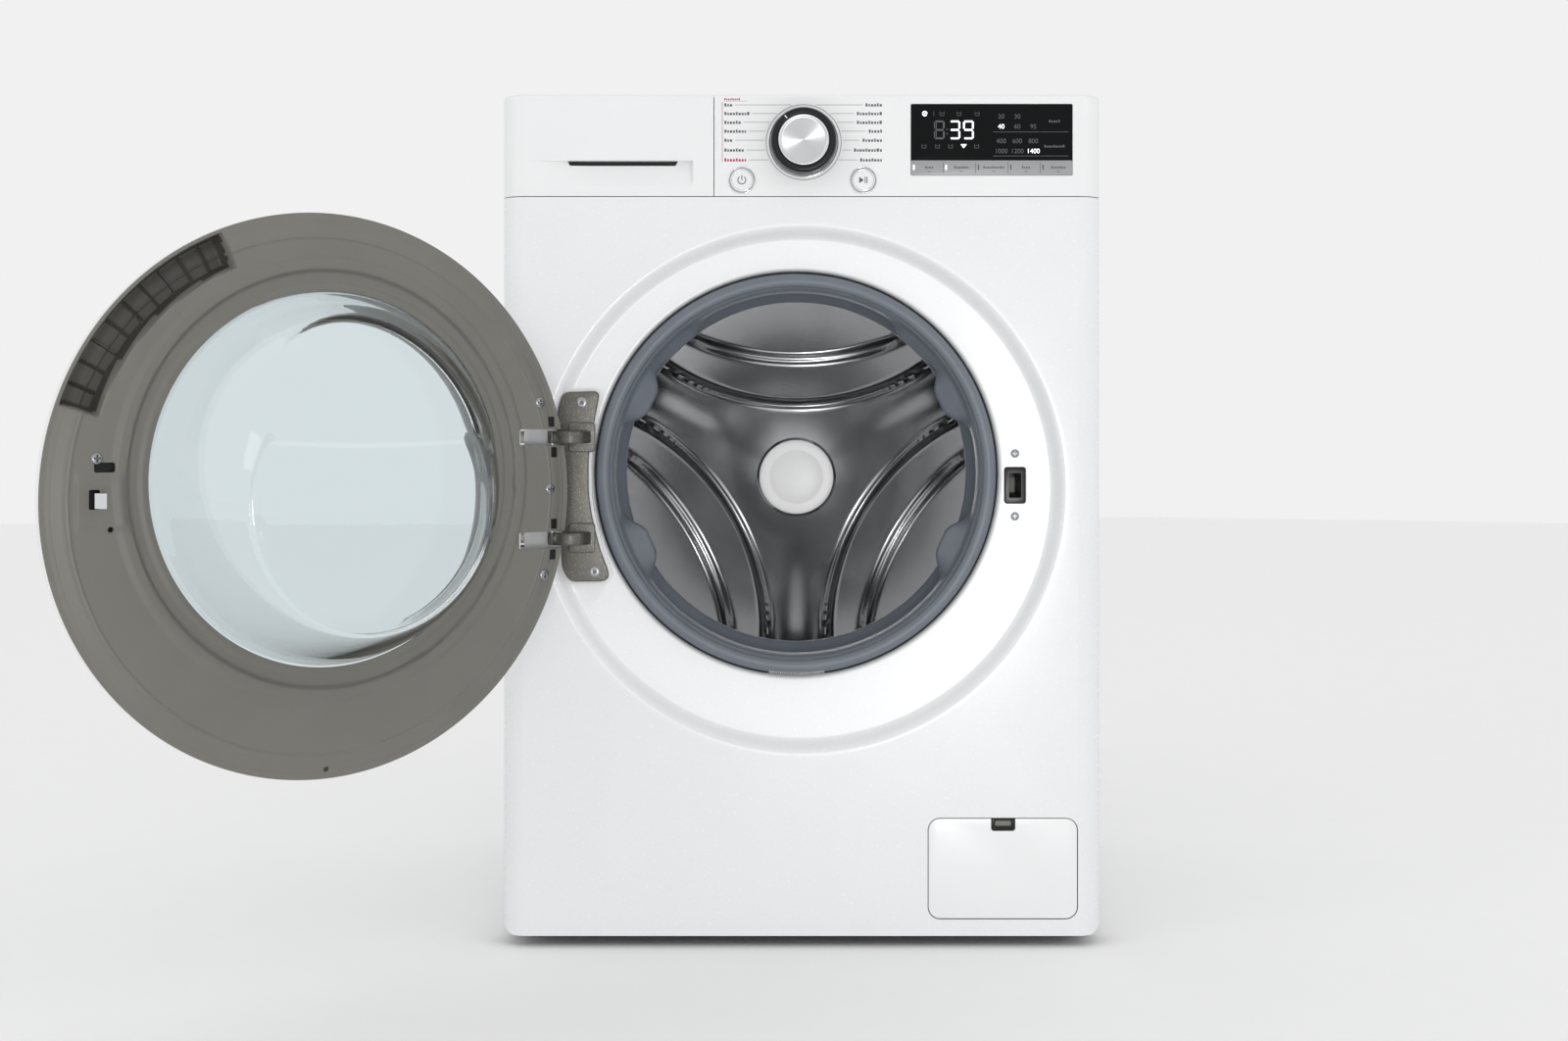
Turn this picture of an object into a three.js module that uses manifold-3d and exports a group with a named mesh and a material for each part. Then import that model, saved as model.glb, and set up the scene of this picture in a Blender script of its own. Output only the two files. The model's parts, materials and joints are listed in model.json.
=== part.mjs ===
// Front load washing machine, millimetres, +Z up, front facing -Y.
// The origin is on the floor under the middle of the cabinet.
import * as THREE from 'three';
import { mergeVertices } from 'three/addons/utils/BufferGeometryUtils.js';
import Module from 'manifold-3d';

const wasm = await Module();
wasm.setup();

// ---- clearances shared by every pair of pieces that meet
const gap = 0.3; // between pieces that seat on each other
const seam = 0.8; // visible joint between outer panels
const runningGap = 0.4; // round a piece that slides or turns in a hole

// ---- cabinet
const cabinetWidth = 600;
const cabinetHeight = 850;
const cabinetDepth = 565;
const sheet = 1; // steel sheet
const moulding = 2.5; // wall of the plastic mouldings
const skirtHeight = 10.7; // lower edge of the panels above the floor
const stripHeight = 102.5; // control strip above the front panel
const panelReturn = 40; // how far the front wraps round to the sides
const edgeRadius = 25; // vertical front edges
const cornerRadius = 14; // lower front corners
const flangeWidth = 18; // turned-in flanges of the side panels
const lowerFlange = 8;
const topThickness = 16;
const rearInset = 4; // rear panel behind the outline of the cover
const panStep = 18; // underside of the base pan above the floor
const panThickness = 3;
const panBossDrop = 5; // underside of the pan's middle boss above the floor
const panBossSize = 140;
const panRim = 12;

// ---- feet
const footSide = 21; // from the side faces
const footInset = 57; // from the front and rear faces
const footRadius = 15;
const footHeight = 8;
const footStem = 5;
const footNutAcross = 15;
const footNutHeight = 6;
const footBossRadius = 9;
const footBossHeight = 20;
const footThread = 36;

// ---- porthole, dish and drum
const axisX = -5.5; // drum and porthole sit left of the middle
const drumZ = 457.6;
const portholeZ = 471.4;
const portholeRadius = 202;
const portholeCollar = 12; // flange turned in round the porthole
const dishZ = 455.8;
const dishRadius = 264;
const dishSlope = 15;
const dishDepth = 12;
const drumRadius = 245;
const drumWall = 1;
const drumFront = -172; // lip of the drum mouth, along Y
const drumRear = 150;
const drumMouth = 195;
const drumHubDepth = 100; // front of the hub behind the middle plane
const hubRadius = 43.6;
const lifterHeight = 45;
const lifterHalfWidth = 32;
const lifterCount = 3;
const tubClearance = 24; // between drum and tub
const tubWall = 3;
const tubFront = -186;
const tubRear = 166;
const tubMouth = 205;
const tubFlange = 8;
const tubCollar = 14; // collar that carries the gasket

// ---- drive
const shaftRadius = 14.9;
const shaftEnd = 238;
const frontBearing = { radius: 31, width: 16, at: 179 };
const rearBearing = { radius: 26, width: 15, at: 200 };
const sealWidth = 8;
const bearingBoss = { radius: 46, end: 216 };
const stator = { inner: 52, step: 92, outer: 142, at: 179.6, end: 214 };
const rotor = { gap: 2, wall: 4, start: 184, end: 226, hub: 22 };
const spiderThickness = 10;

// ---- gasket
const lipRadius = 175.6;
const lipDepth = 90; // lip behind the front face
const rubber = 3;

// ---- door, given as closed: d is the distance in front of the cabinet's face
const doorRadius = 259;
const doorRim = 18; // height of the straight rim
const doorWall = 2.2;
const doorBack = 0.5; // inner face of the door in front of the panel
const windowRadius = 189.5;
const windowSeat = 50;
const glassRadius = 172.2;
const bowlDepth = 120;
const bowlDrop = 30; // how far the bowl's bottom sits below the glass opening
const glass = 4;
const frameThickness = 2.5;
const doorOpening = 142.2; // degrees, from closed to the rest pose
const hingeX = -247;
const hingeOut = 14;
const armHeights = [508, 407.5];
const armHeight = 12;
const armThickness = 6;
const barrelRadius = 4.5;
const pinRadius = 2;
const slotHeight = 16;
const bracketThickness = 4.7;
const bracketSeat = 7.2; // depth of the bracket's seat behind the front face
const pocket = { from: 18.5, to: 67.7, inner: 224, outer: 256.2, depth: 20 };
const latch = { x: 214, z: 457, reach: 25, width: 8, height: 13 };
const lockBodyHalf = 38; // half the height of the lock's body behind the panel
const lockSlot = { x: 214, z: 459.6, width: 21.5, height: 36.4, depth: 24, wall: 3, corner: 3 };

// ---- control strip
const splitX = -87.4; // joint between the drawer front and the console
const dial = { x: 2, z: cabinetHeight - 48, ring: 35.7, knob: 33.1, cap: 25.4, height: 22, stem: 6 };
const button = {
  x: [-59.6, 61.6],
  z: cabinetHeight - 85.8,
  radius: 11.8,
  proud: 1.2,
  travel: 1.5,
};
const display = {
  x0: 109,
  x1: 270,
  z0: cabinetHeight - 81,
  z1: cabinetHeight - 10,
  thickness: 2.5,
  corner: 1.5,
};
const board = { thickness: 1.6, behind: 14, margin: 6 };
const scoop = {
  x0: -269,
  x1: -108,
  z0: cabinetHeight - 95,
  z1: cabinetHeight - 66.5,
  depth: 16,
};

// ---- detergent drawer
const tray = {
  x0: -281,
  x1: -108,
  z0: cabinetHeight - 90,
  z1: cabinetHeight - 24,
  rear: -30,
  wall: 2,
  divider: -172,
};
const drawerPlay = 1.5;
const softenerDepth = 70;

// ---- pump and filter
const flap = { x0: 126.5, x1: 274.8, z0: 28, z1: 127.7, corner: 11.5, thickness: 6 };
const flapNotch = { x: 201, width: 24.3, height: 12.4 };
const filter = { x: 190, z: 72, radius: 28, wall: 5, bore: 50, length: 95 };
const bayDepth = 22;

// ---- rear fittings, as x and z
const inlet = { x: 210, z: cabinetHeight - 50, radius: 13.2, proud: 12 };
const spigot = { x: 150, z: cabinetHeight - 80, radius: 11, proud: 16 };
const gland = { x: -215, z: cabinetHeight - 90, radius: 9, proud: 6 };
const coverSize = { width: 380, height: 420, z: 430, corner: 40 };

// ---- places worked out from the sizes above
const halfWidth = cabinetWidth / 2;
const front = -cabinetDepth / 2;
const rear = cabinetDepth / 2;
const stripZ = cabinetHeight - stripHeight;
const topZ = cabinetHeight - topThickness;
const returnY = front + panelReturn;
const dishY = front + dishDepth;
const tubRadius = drumRadius + tubClearance + tubWall;
const footY = rear - footInset;
const drumBore = drumRadius - drumWall;
const rearPanelY = rear - rearInset;
const large = 36; // facets round a large circle
const medium = 16;
const small = 10;
const arc = 3; // half the facets of a corner's arc
const longArc = 10;

// ---- materials
const finish = (color, roughness, metalness) =>
  new THREE.MeshStandardMaterial({ color, roughness, metalness });
const whiteSteel = () => finish(0xf3f4f4, 0.3, 0.1);
const whitePlastic = () => finish(0xf5f6f6, 0.35, 0);
const blackPlastic = () => finish(0x1b1c1e, 0.35, 0);
const greyPlastic = () => finish(0x76746f, 0.45, 0);
const tubPlastic = () => finish(0xb9bcc0, 0.6, 0);
const galvanised = () => finish(0xb4b8bb, 0.45, 0.8);
const stainless = () => finish(0xc9cacc, 0.18, 1);
const steel = () => finish(0x9ea2a6, 0.3, 1);
const castMetal = () => finish(0x6d6a66, 0.5, 0.6);
const darkRubber = () => finish(0x2a2b2d, 0.8, 0);
const gasketRubber = () => finish(0x78808c, 0.6, 0);
const clearGlass = () => finish(0xdfe8ea, 0.05, 0);
const concrete = () => finish(0x8d8c88, 0.9, 0);

// ---- solids from closed geometries, and back
function solid(geometry) {
  const bare = geometry.clone();
  bare.deleteAttribute('normal');
  bare.deleteAttribute('uv');
  const merged = mergeVertices(bare, 1e-4);
  const corners = merged.getIndex().array;
  const triangles = [];
  for (let i = 0; i < corners.length; i += 3) {
    const [a, b, c] = corners.slice(i, i + 3);
    if (a !== b && b !== c && c !== a) triangles.push(a, b, c);
  }
  return new wasm.Manifold(new wasm.Mesh({
    numProp: 3,
    vertProperties: new Float32Array(merged.getAttribute('position').array),
    triVerts: new Uint32Array(triangles),
  }));
}

function piece(name, body, material) {
  const { vertProperties, triVerts, numProp } = body.getMesh();
  const positions = new Float32Array((vertProperties.length / numProp) * 3);
  for (let i = 0; i < positions.length / 3; i += 1) {
    positions.set(vertProperties.slice(i * numProp, i * numProp + 3), i * 3);
  }
  const geometry = new THREE.BufferGeometry();
  geometry.setAttribute('position', new THREE.BufferAttribute(positions, 3));
  geometry.setIndex(new THREE.BufferAttribute(new Uint32Array(triVerts), 1));
  geometry.computeVertexNormals();
  const mesh = new THREE.Mesh(geometry, material);
  mesh.name = name;
  return mesh;
}

const join = (bodies) => bodies.reduce((whole, body) => whole.add(body));

// A block between two corners, given in any order.
function block(xs, ys, zs) {
  const spans = [xs, ys, zs].map(([a, b]) => [Math.min(a, b), Math.max(a, b)]);
  const geometry = new THREE.BoxGeometry(...spans.map(([a, b]) => b - a));
  geometry.translate(...spans.map(([a, b]) => (a + b) / 2));
  return solid(geometry);
}

// An outline in x and z, carried along Y from one place to another.
function slab(outline, y0, y1, facets = arc) {
  const depth = Math.abs(y1 - y0);
  const geometry = new THREE.ExtrudeGeometry(outline, {
    depth, bevelEnabled: false, curveSegments: facets,
  });
  geometry.rotateX(Math.PI / 2);
  geometry.translate(0, Math.max(y0, y1), 0);
  return solid(geometry);
}

// An outline in x and y, carried up along Z.
function column(outline, z0, z1, facets = arc) {
  const geometry = new THREE.ExtrudeGeometry(outline, {
    depth: Math.abs(z1 - z0), bevelEnabled: false, curveSegments: facets,
  });
  geometry.translate(0, 0, Math.min(z0, z1));
  return solid(geometry);
}

function polygon(points) {
  return new THREE.Shape(points.map(([x, y]) => new THREE.Vector2(x, y)));
}

function rectangle(x0, x1, z0, z1, radius) {
  const shape = new THREE.Shape();
  shape.moveTo(x0 + radius, z0);
  shape.lineTo(x1 - radius, z0);
  shape.absarc(x1 - radius, z0 + radius, radius, -Math.PI / 2, 0);
  shape.lineTo(x1, z1 - radius);
  shape.absarc(x1 - radius, z1 - radius, radius, 0, Math.PI / 2);
  shape.lineTo(x0 + radius, z1);
  shape.absarc(x0 + radius, z1 - radius, radius, Math.PI / 2, Math.PI);
  shape.lineTo(x0, z0 + radius);
  shape.absarc(x0 + radius, z0 + radius, radius, Math.PI, Math.PI * 1.5);
  return shape;
}

function sector(radius, from, to, x, z) {
  const [a0, a1] = [from, to].map(THREE.MathUtils.degToRad);
  const shape = new THREE.Shape();
  shape.moveTo(x, z);
  shape.lineTo(x + radius * Math.cos(a0), z + radius * Math.sin(a0));
  shape.absarc(x, z, radius, a0, a1);
  shape.lineTo(x, z);
  return shape;
}

// A profile of [radius, y, drop] turned about an axis along Y. The profile is closed, or starts
// and ends on the axis. A drop moves that point's whole ring down, which skews the ring.
function turned(profile, x, z, facets = large) {
  let area = 0;
  profile.forEach(([r, y], i) => {
    const [nextR, nextY] = profile[(i + 1) % profile.length];
    area += r * nextY - nextR * y;
  });
  const path = area < 0 ? [...profile].reverse() : [...profile];
  if (path.every(([r]) => r > 0)) path.push(path[0]);
  const points = path.map(([r, y]) => new THREE.Vector2(r, y));
  const geometry = new THREE.LatheGeometry(points, facets);
  const position = geometry.getAttribute('position');
  for (let i = 0; i < position.count; i += 1) {
    const drop = path[i % path.length][2] ?? 0;
    position.setZ(i, position.getZ(i) - drop);
  }
  geometry.translate(x, 0, z);
  return solid(geometry);
}

const disc = (radius, y0, y1, x, z, facets = medium) =>
  turned([[0, y0], [radius, y0], [radius, y1], [0, y1]], x, z, facets);

const ring = (inner, outer, y0, y1, x, z, facets = medium) =>
  turned([[inner, y0], [outer, y0], [outer, y1], [inner, y1]], x, z, facets);

// A profile of [radius, z] turned about a vertical axis.
function upright(profile, x, y, facets = medium) {
  const points = profile.map(([r, z]) => new THREE.Vector2(r, z));
  const geometry = new THREE.LatheGeometry(points, facets);
  geometry.rotateX(Math.PI / 2);
  geometry.translate(x, y, 0);
  return solid(geometry);
}

// A round bar from one point to another, as rings of [radius, distance along it].
function bar(start, end, rings, facets = small) {
  const from = new THREE.Vector3(...start);
  const along = new THREE.Vector3(...end).sub(from);
  const profile = [[0, rings[0][1]], ...rings, [0, rings[rings.length - 1][1]]];
  const points = profile.map(([r, t]) => new THREE.Vector2(r, t));
  const geometry = new THREE.LatheGeometry(points, facets);
  const up = new THREE.Vector3(0, 1, 0);
  geometry.applyQuaternion(new THREE.Quaternion().setFromUnitVectors(up, along.normalize()));
  geometry.translate(...start);
  return solid(geometry);
}

// ---- cabinet panels

// The plan of the front wrap: straight across, round at the outer edges, open at the back.
function wrapPlan(x0, x1, inset, roundLeft, roundRight) {
  const radius = edgeRadius - inset;
  const y0 = front + inset;
  const shape = new THREE.Shape();
  shape.moveTo(x0, returnY);
  if (roundLeft) {
    shape.lineTo(x0, y0 + radius);
    shape.absarc(x0 + radius, y0 + radius, radius, Math.PI, Math.PI * 1.5);
  } else {
    shape.lineTo(x0, y0);
  }
  if (roundRight) {
    shape.lineTo(x1 - radius, y0);
    shape.absarc(x1 - radius, y0 + radius, radius, -Math.PI / 2, 0);
  } else {
    shape.lineTo(x1, y0);
  }
  shape.lineTo(x1, returnY);
  return shape;
}

function frontPanel() {
  const z1 = stripZ;
  const outline = new THREE.Shape();
  const cornerX = halfWidth - cornerRadius;
  const cornerZ = skirtHeight + cornerRadius;
  outline.moveTo(-halfWidth, z1);
  outline.lineTo(-halfWidth, cornerZ);
  outline.absarc(-cornerX, cornerZ, cornerRadius, Math.PI, Math.PI * 1.5);
  outline.lineTo(cornerX, skirtHeight);
  outline.absarc(cornerX, cornerZ, cornerRadius, -Math.PI / 2, 0);
  outline.lineTo(halfWidth, z1);
  const outer = column(wrapPlan(-halfWidth, halfWidth, 0, true, true), skirtHeight, z1)
    .intersect(slab(outline, front - 1, returnY + 1));
  const inner = halfWidth - sheet;
  const hollow = column(wrapPlan(-inner, inner, sheet, true, true), skirtHeight + sheet, z1 - sheet)
    .add(block([-inner, inner], [returnY - 1, returnY + 1], [skirtHeight + sheet, z1 - sheet]))
    .intersect(slab(rectangle(-inner, inner, skirtHeight + sheet, z1 - sheet, cornerRadius - sheet),
      front, returnY + 2));
  const floorRadius = dishRadius - dishSlope;
  const dishCut = turned([[0, front - 1], [dishRadius, front - 1], [dishRadius, front],
    [floorRadius, dishY], [0, dishY]], 0, dishZ);
  const lap = dishRadius + 4;
  const dish = turned([[0, dishY], [floorRadius, dishY], [dishRadius, front], [lap, front],
    [lap, front + sheet], [floorRadius + 1, dishY + sheet], [0, dishY + sheet]], 0, dishZ);
  const collarEnd = dishY + portholeCollar;
  const collar = ring(portholeRadius, portholeRadius + sheet, dishY, collarEnd,
    axisX, portholeZ, large);
  const porthole = disc(portholeRadius, front - 5, collarEnd + 5, axisX, portholeZ, large);
  const flapHole = slab(rectangle(flap.x0 - seam, flap.x1 + seam, flap.z0 - seam, flap.z1 + seam,
    flap.corner + seam), front - 5, front + 5);
  const halfSlot = lockSlot.width / 2 + gap;
  const halfSlotHeight = lockSlot.height / 2 + gap;
  const lockHole = slab(rectangle(lockSlot.x - halfSlot, lockSlot.x + halfSlot,
    lockSlot.z - halfSlotHeight, lockSlot.z + halfSlotHeight, lockSlot.corner), front, dishY + 5);
  const hingeSeat = slab(bracketOutline(seam), front - 1, front + bracketSeat);
  const hingePad = slab(bracketOutline(seam + 2), front + bracketSeat, dishY + sheet);
  return outer.subtract(hollow).subtract(dishCut).add(dish).add(collar).add(hingePad).subtract(hingeSeat)
    .subtract(porthole).subtract(flapHole).subtract(lockHole);
}

function sidePanel(side) {
  const outer = side * halfWidth;
  const inner = side * (halfWidth - sheet);
  const y0 = returnY + gap;
  const y1 = rearPanelY - gap;
  const z1 = topZ - gap;
  const flange = side * (halfWidth - flangeWidth);
  const hanger = side * (halfWidth - 32);
  return join([
    block([outer, inner], [y0, y1], [skirtHeight, z1]),
    block([inner, flange], [y0, y0 + sheet], [skirtHeight, z1]),
    block([inner, flange], [y1 - sheet, y1], [skirtHeight, z1]),
    block([inner, side * (halfWidth - lowerFlange)], [y0, y1], [skirtHeight, skirtHeight + sheet]),
    block([inner, flange], [y0, y1], [z1 - sheet, z1]),
    block([inner, hanger], [-14, 14], [z1 - 30, z1 - 28]),
  ]);
}

function rearPanel() {
  const edge = halfWidth - gap;
  const { width, height, z, corner } = coverSize;
  const lap = 12;
  const opening = rectangle(axisX - width / 2 + lap, axisX + width / 2 - lap,
    z - height / 2 + lap, z + height / 2 - lap, corner - lap);
  const hole = ({ radius, x, z: height0 }) =>
    disc(radius + runningGap, rearPanelY - 2, rearPanelY + 3, x, height0);
  return block([-edge, edge], [rearPanelY, rearPanelY + sheet], [skirtHeight, topZ - gap])
    .subtract(slab(opening, rearPanelY - 2, rearPanelY + 3))
    .subtract(hole(inlet)).subtract(hole(spigot)).subtract(hole(gland));
}

function rearCover() {
  const { width, height, z, corner } = coverSize;
  const y0 = rearPanelY + sheet + gap;
  const face = (inset, a, b) => slab(rectangle(axisX - width / 2 + inset, axisX + width / 2 - inset,
    z - height / 2 + inset, z + height / 2 - inset, corner - inset), a, b);
  const raise = 1.4;
  return face(0, y0, y0 + sheet).add(face(24, y0 + sheet, y0 + sheet + raise))
    .subtract(face(26, y0 - 1, y0 + raise));
}

function topPanel() {
  const y0 = returnY + seam;
  const edge = 3;
  const slabTop = block([-halfWidth, halfWidth], [y0, rear], [topZ, cabinetHeight]);
  const bevel = polygon([[-halfWidth + edge, y0 - 1], [halfWidth - edge, y0 - 1], [halfWidth, y0 + edge],
    [halfWidth, rear - edge], [halfWidth - edge, rear], [-halfWidth + edge, rear],
    [-halfWidth, rear - edge], [-halfWidth, y0 + edge]]);
  return slabTop.intersect(column(bevel, topZ - 1, cabinetHeight + 1));
}

function basePan() {
  const edge = halfWidth - 3;
  const y0 = returnY + 2;
  const y1 = rearPanelY - 2;
  const top = panStep + panThickness;
  const half = panBossSize / 2;
  const rimX = halfWidth - lowerFlange - 6;
  // the floor sits inside the flanges of the sides, so it stays narrower above the skirt
  const floor = block([-rimX, rimX], [y0, y1], [panStep, top]);
  const rim = block([-rimX, rimX], [y0, y1], [top, top + panRim])
    .subtract(block([-rimX + panThickness, rimX - panThickness],
      [y0 + panThickness, y1 - panThickness], [top - 1, top + panRim + 1]));
  const boss = block([-half, half], [-half, half], [panBossDrop, top])
    .subtract(block([-half + panThickness, half - panThickness],
      [-half + panThickness, half - panThickness], [panBossDrop + panThickness, top + 1]));
  const well = block([-half + panThickness, half - panThickness],
    [-half + panThickness, half - panThickness], [panStep - 1, top + 1]);
  let pan = join([floor.subtract(well), rim, boss]);
  for (const [x, y] of footPlaces()) {
    const bossTop = panStep + footBossHeight;
    const tower = upright([[0, panStep], [footBossRadius, panStep], [footBossRadius, bossTop],
      [0, bossTop]], x, y);
    pan = pan.add(tower.intersect(block([-edge, edge], [front, rear], [0, cabinetHeight])));
  }
  for (const [x, y] of footPlaces()) {
    const bore = footStem + runningGap;
    pan = pan.subtract(upright([[0, 0], [bore, 0], [bore, panStep + footBossHeight + 1],
      [0, panStep + footBossHeight + 1]], x, y));
  }
  return pan;
}

function footPlaces() {
  const x = halfWidth - footSide;
  return [[-x, -footY], [x, -footY], [-x, footY], [x, footY]];
}

function foot(x, y) {
  const pad = upright([[0, 0], [footRadius - 1, 0], [footRadius, 2], [footRadius - 2, 6],
    [footStem + 3, footHeight], [footStem, footHeight], [footStem, footThread], [0, footThread]],
  x, y, small);
  const across = footNutAcross / Math.sqrt(3);
  const nut = upright([[0, footHeight + 1], [across, footHeight + 1],
    [across, footHeight + 1 + footNutHeight], [0, footHeight + 1 + footNutHeight]], x, y, 6);
  return pad.add(nut);
}

function frontCrossbar() {
  const end = halfWidth - flangeWidth - 1;
  const y0 = returnY + sheet + 1;
  const depth = 34;
  const z0 = stripZ - 9;
  const wall = 1.2;
  return block([-end, end], [y0, y0 + depth], [z0, z0 + 13])
    .subtract(block([-end - 1, end + 1], [y0 + wall, y0 + depth - wall], [z0 - 1, z0 + 13 - wall]));
}

// ---- control strip

function wrapShell(x0, x1, z0, z1, roundLeft, roundRight, wall) {
  const outer = column(wrapPlan(x0, x1, 0, roundLeft, roundRight), z0, z1);
  const hollow = column(wrapPlan(x0 + wall, x1 - wall, wall, roundLeft, roundRight), z0 + wall, z1 - wall)
    .add(block([x0 + wall, x1 - wall], [returnY - 1, returnY + 1], [z0 + wall, z1 - wall]));
  return outer.subtract(hollow);
}

function controlConsole() {
  const shell = wrapShell(splitX + seam / 2, halfWidth, stripZ + seam, cabinetHeight,
    false, true, moulding);
  const trim = ring(dial.knob + 0.6, dial.ring, front - 1, front + moulding, dial.x, dial.z, large);
  const stem = disc(dial.stem + runningGap, front - 5, front + 10, dial.x, dial.z, small);
  const lens = slab(rectangle(display.x0 - gap, display.x1 + gap, display.z0 - gap, display.z1 + gap,
    display.corner), front - 5, front + 10, 2);
  let body = shell.add(trim).subtract(stem).subtract(lens);
  for (const x of button.x) {
    body = body.subtract(disc(button.radius + runningGap, front - 5, front + 10, x, button.z));
  }
  return body;
}

function displayWindow() {
  return slab(rectangle(display.x0, display.x1, display.z0, display.z1, display.corner),
    front - 0.2, front - 0.2 + display.thickness, 2);
}

function controlBoard() {
  const y0 = front + board.behind;
  const z0 = stripZ + seam + moulding + board.margin;
  const z1 = cabinetHeight - moulding - board.margin;
  const x0 = button.x[0] - button.radius - board.margin;
  const x1 = display.x1 + board.margin;
  const plate = block([x0, x1], [y0, y0 + board.thickness], [z0, z1]);
  const parts = [[display.x0 + 8, display.x1 - 8, 12], [button.x[0], button.x[0] + 30, 8],
    [dial.x + 38, dial.x + 68, 10]];
  const raised = parts.map(([a, b, h]) =>
    block([a, b], [y0 + board.thickness - 0.5, y0 + board.thickness + h], [z0 + 12, z1 - 12]));
  return join([plate, ...raised]);
}

function dialKnob() {
  const face = front - dial.height;
  const seat = face + 3 + gap;
  const bore = dial.cap + 0.5;
  return turned([[0, front + 9], [dial.stem, front + 9], [dial.stem, front - 1.5],
    [dial.knob, front - 1.5], [dial.knob, face + 5], [dial.knob - 2, face + 1],
    [dial.knob - 4, face], [bore, face], [bore, seat], [0, seat]], dial.x, dial.z, large);
}

function dialCap() {
  const face = front - dial.height;
  return turned([[0, face + 3], [dial.cap, face + 3], [dial.cap, face + 1], [dial.cap - 1, face],
    [dial.cap - 3, face + 0.6], [0, face + 1]], dial.x, dial.z, large);
}

function pushButton(x) {
  const face = front - button.proud;
  return turned([[0, front + 7], [button.radius, front + 7], [button.radius, face + 0.6],
    [button.radius - 0.8, face], [0, face]], x, button.z);
}

// ---- detergent drawer

function drawerFront() {
  const x1 = splitX - seam / 2;
  const z0 = stripZ + seam;
  const shell = wrapShell(-halfWidth, x1, z0, cabinetHeight, true, false, moulding);
  const wedge = (margin) => {
    const profile = polygon([[front - 2, scoop.z0 - margin], [front + 2, scoop.z0 - margin],
      [front + scoop.depth * 0.6 + margin, scoop.z0 + 9 - margin],
      [front + scoop.depth + margin, scoop.z1 - 6], [front + scoop.depth + margin, scoop.z1 + margin],
      [front - 2, scoop.z1 + margin]]);
    const geometry = new THREE.ExtrudeGeometry(profile,
      { depth: scoop.x1 - scoop.x0 + 2 * margin, bevelEnabled: false });
    // profile x is y and profile y is z, so the extrusion runs along X
    geometry.applyMatrix4(new THREE.Matrix4().set(
      0, 0, 1, scoop.x0 - margin, 1, 0, 0, 0, 0, 1, 0, 0, 0, 0, 0, 1));
    return solid(geometry);
  };
  const backing = wedge(moulding).intersect(block([-halfWidth, x1], [front, rear], [z0, cabinetHeight]));
  return shell.add(backing).subtract(wedge(0));
}

function drawerTray() {
  const { x0, x1, z0, z1, rear: y1, wall, divider } = tray;
  const y0 = front + scoop.depth + moulding + 4;
  const outer = block([x0, x1], [y0, y1], [z0, z1]);
  const wash = block([x0 + wall, divider - wall / 2], [y0 + wall, y1 - wall], [z0 + wall, z1 + 1]);
  const softener = block([divider + wall / 2, x1 - wall], [y0 + wall, y0 + wall + softenerDepth * 2],
    [z0 + wall + 14, z1 + 1]);
  const duct = block([divider + wall / 2, x1 - wall], [y0 + 2 * wall + softenerDepth * 2, y1 - wall],
    [z0 + wall, z1 + 1]);
  return outer.subtract(wash).subtract(softener).subtract(duct);
}

function softenerCap() {
  const { x1, z0, z1, wall, divider } = tray;
  const y0 = front + scoop.depth + moulding + 4 + wall + softenerDepth;
  const x = (divider + x1) / 2;
  const half = (x1 - divider) / 2 - wall - 1;
  const plate = block([x - half, x + half], [y0, y0 + softenerDepth - 2], [z1 - 8, z1 - 6]);
  const siphon = upright([[0, z0 + wall + 14 + gap], [7, z0 + wall + 14 + gap], [7, z1 - 7], [0, z1 - 7]],
    x, y0 + softenerDepth / 2);
  return plate.add(siphon);
}

function dispenserHousing() {
  const { x0, x1, z0, z1, rear: y1 } = tray;
  const inner = [x0 - drawerPlay, x1 + drawerPlay];
  const outer = [inner[0] - moulding, inner[1] + moulding];
  const y0 = returnY + sheet + 3;
  const spout = disc(20, y1 + drawerPlay + 1, y1 + 40, (x0 + x1) / 2, (z0 + z1) / 2);
  const around = drawerPlay + moulding;
  return block(outer, [y0, y1 + around], [z0 - around, z1 + around])
    .subtract(block(inner, [y0 - 1, y1 + drawerPlay], [z0 - drawerPlay, z1 + drawerPlay]))
    .add(spout);
}

// ---- gasket, tub and drum

function gasket() {
  const sag = portholeZ - drumZ;
  const outer = portholeRadius - 1.5;
  const lipY = front + lipDepth;
  const mouth = tubMouth + tubWall + gap;
  const collarY = tubFront - tubCollar;
  return turned([
    [outer - 14, front + 8], [outer - 8, front + 5], [outer - 1, front + 7], [outer, front + 22],
    [outer - 5, front + 24], [outer - 12, front + 58], [outer - 4, front + 72],
    [mouth + rubber, collarY - 4, sag], [mouth + rubber, tubFront - 3, sag], [mouth, tubFront - 3, sag],
    [mouth, collarY - 2 * gap, sag], [outer - 8, front + 77],
    [outer - 16, front + 66], [lipRadius + 3, lipY - 8], [lipRadius + 1, lipY], [lipRadius, lipY - 10],
    [outer - 18, front + 58], [outer - 15, front + 20]], axisX, portholeZ);
}

function tubFrontHalf() {
  const inner = tubRadius - tubWall;
  return turned([[tubMouth, tubFront - tubCollar], [tubMouth + tubWall, tubFront - tubCollar],
    [tubMouth + tubWall, tubFront],
    [tubRadius - 10, tubFront], [tubRadius, tubFront + 10], [tubRadius, -6], [tubRadius + tubFlange, -6],
    [tubRadius + tubFlange, 0], [inner, 0], [inner, tubFront + 12], [inner - 9, tubFront + tubWall],
    [tubMouth, tubFront + tubWall]], axisX, drumZ);
}

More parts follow.
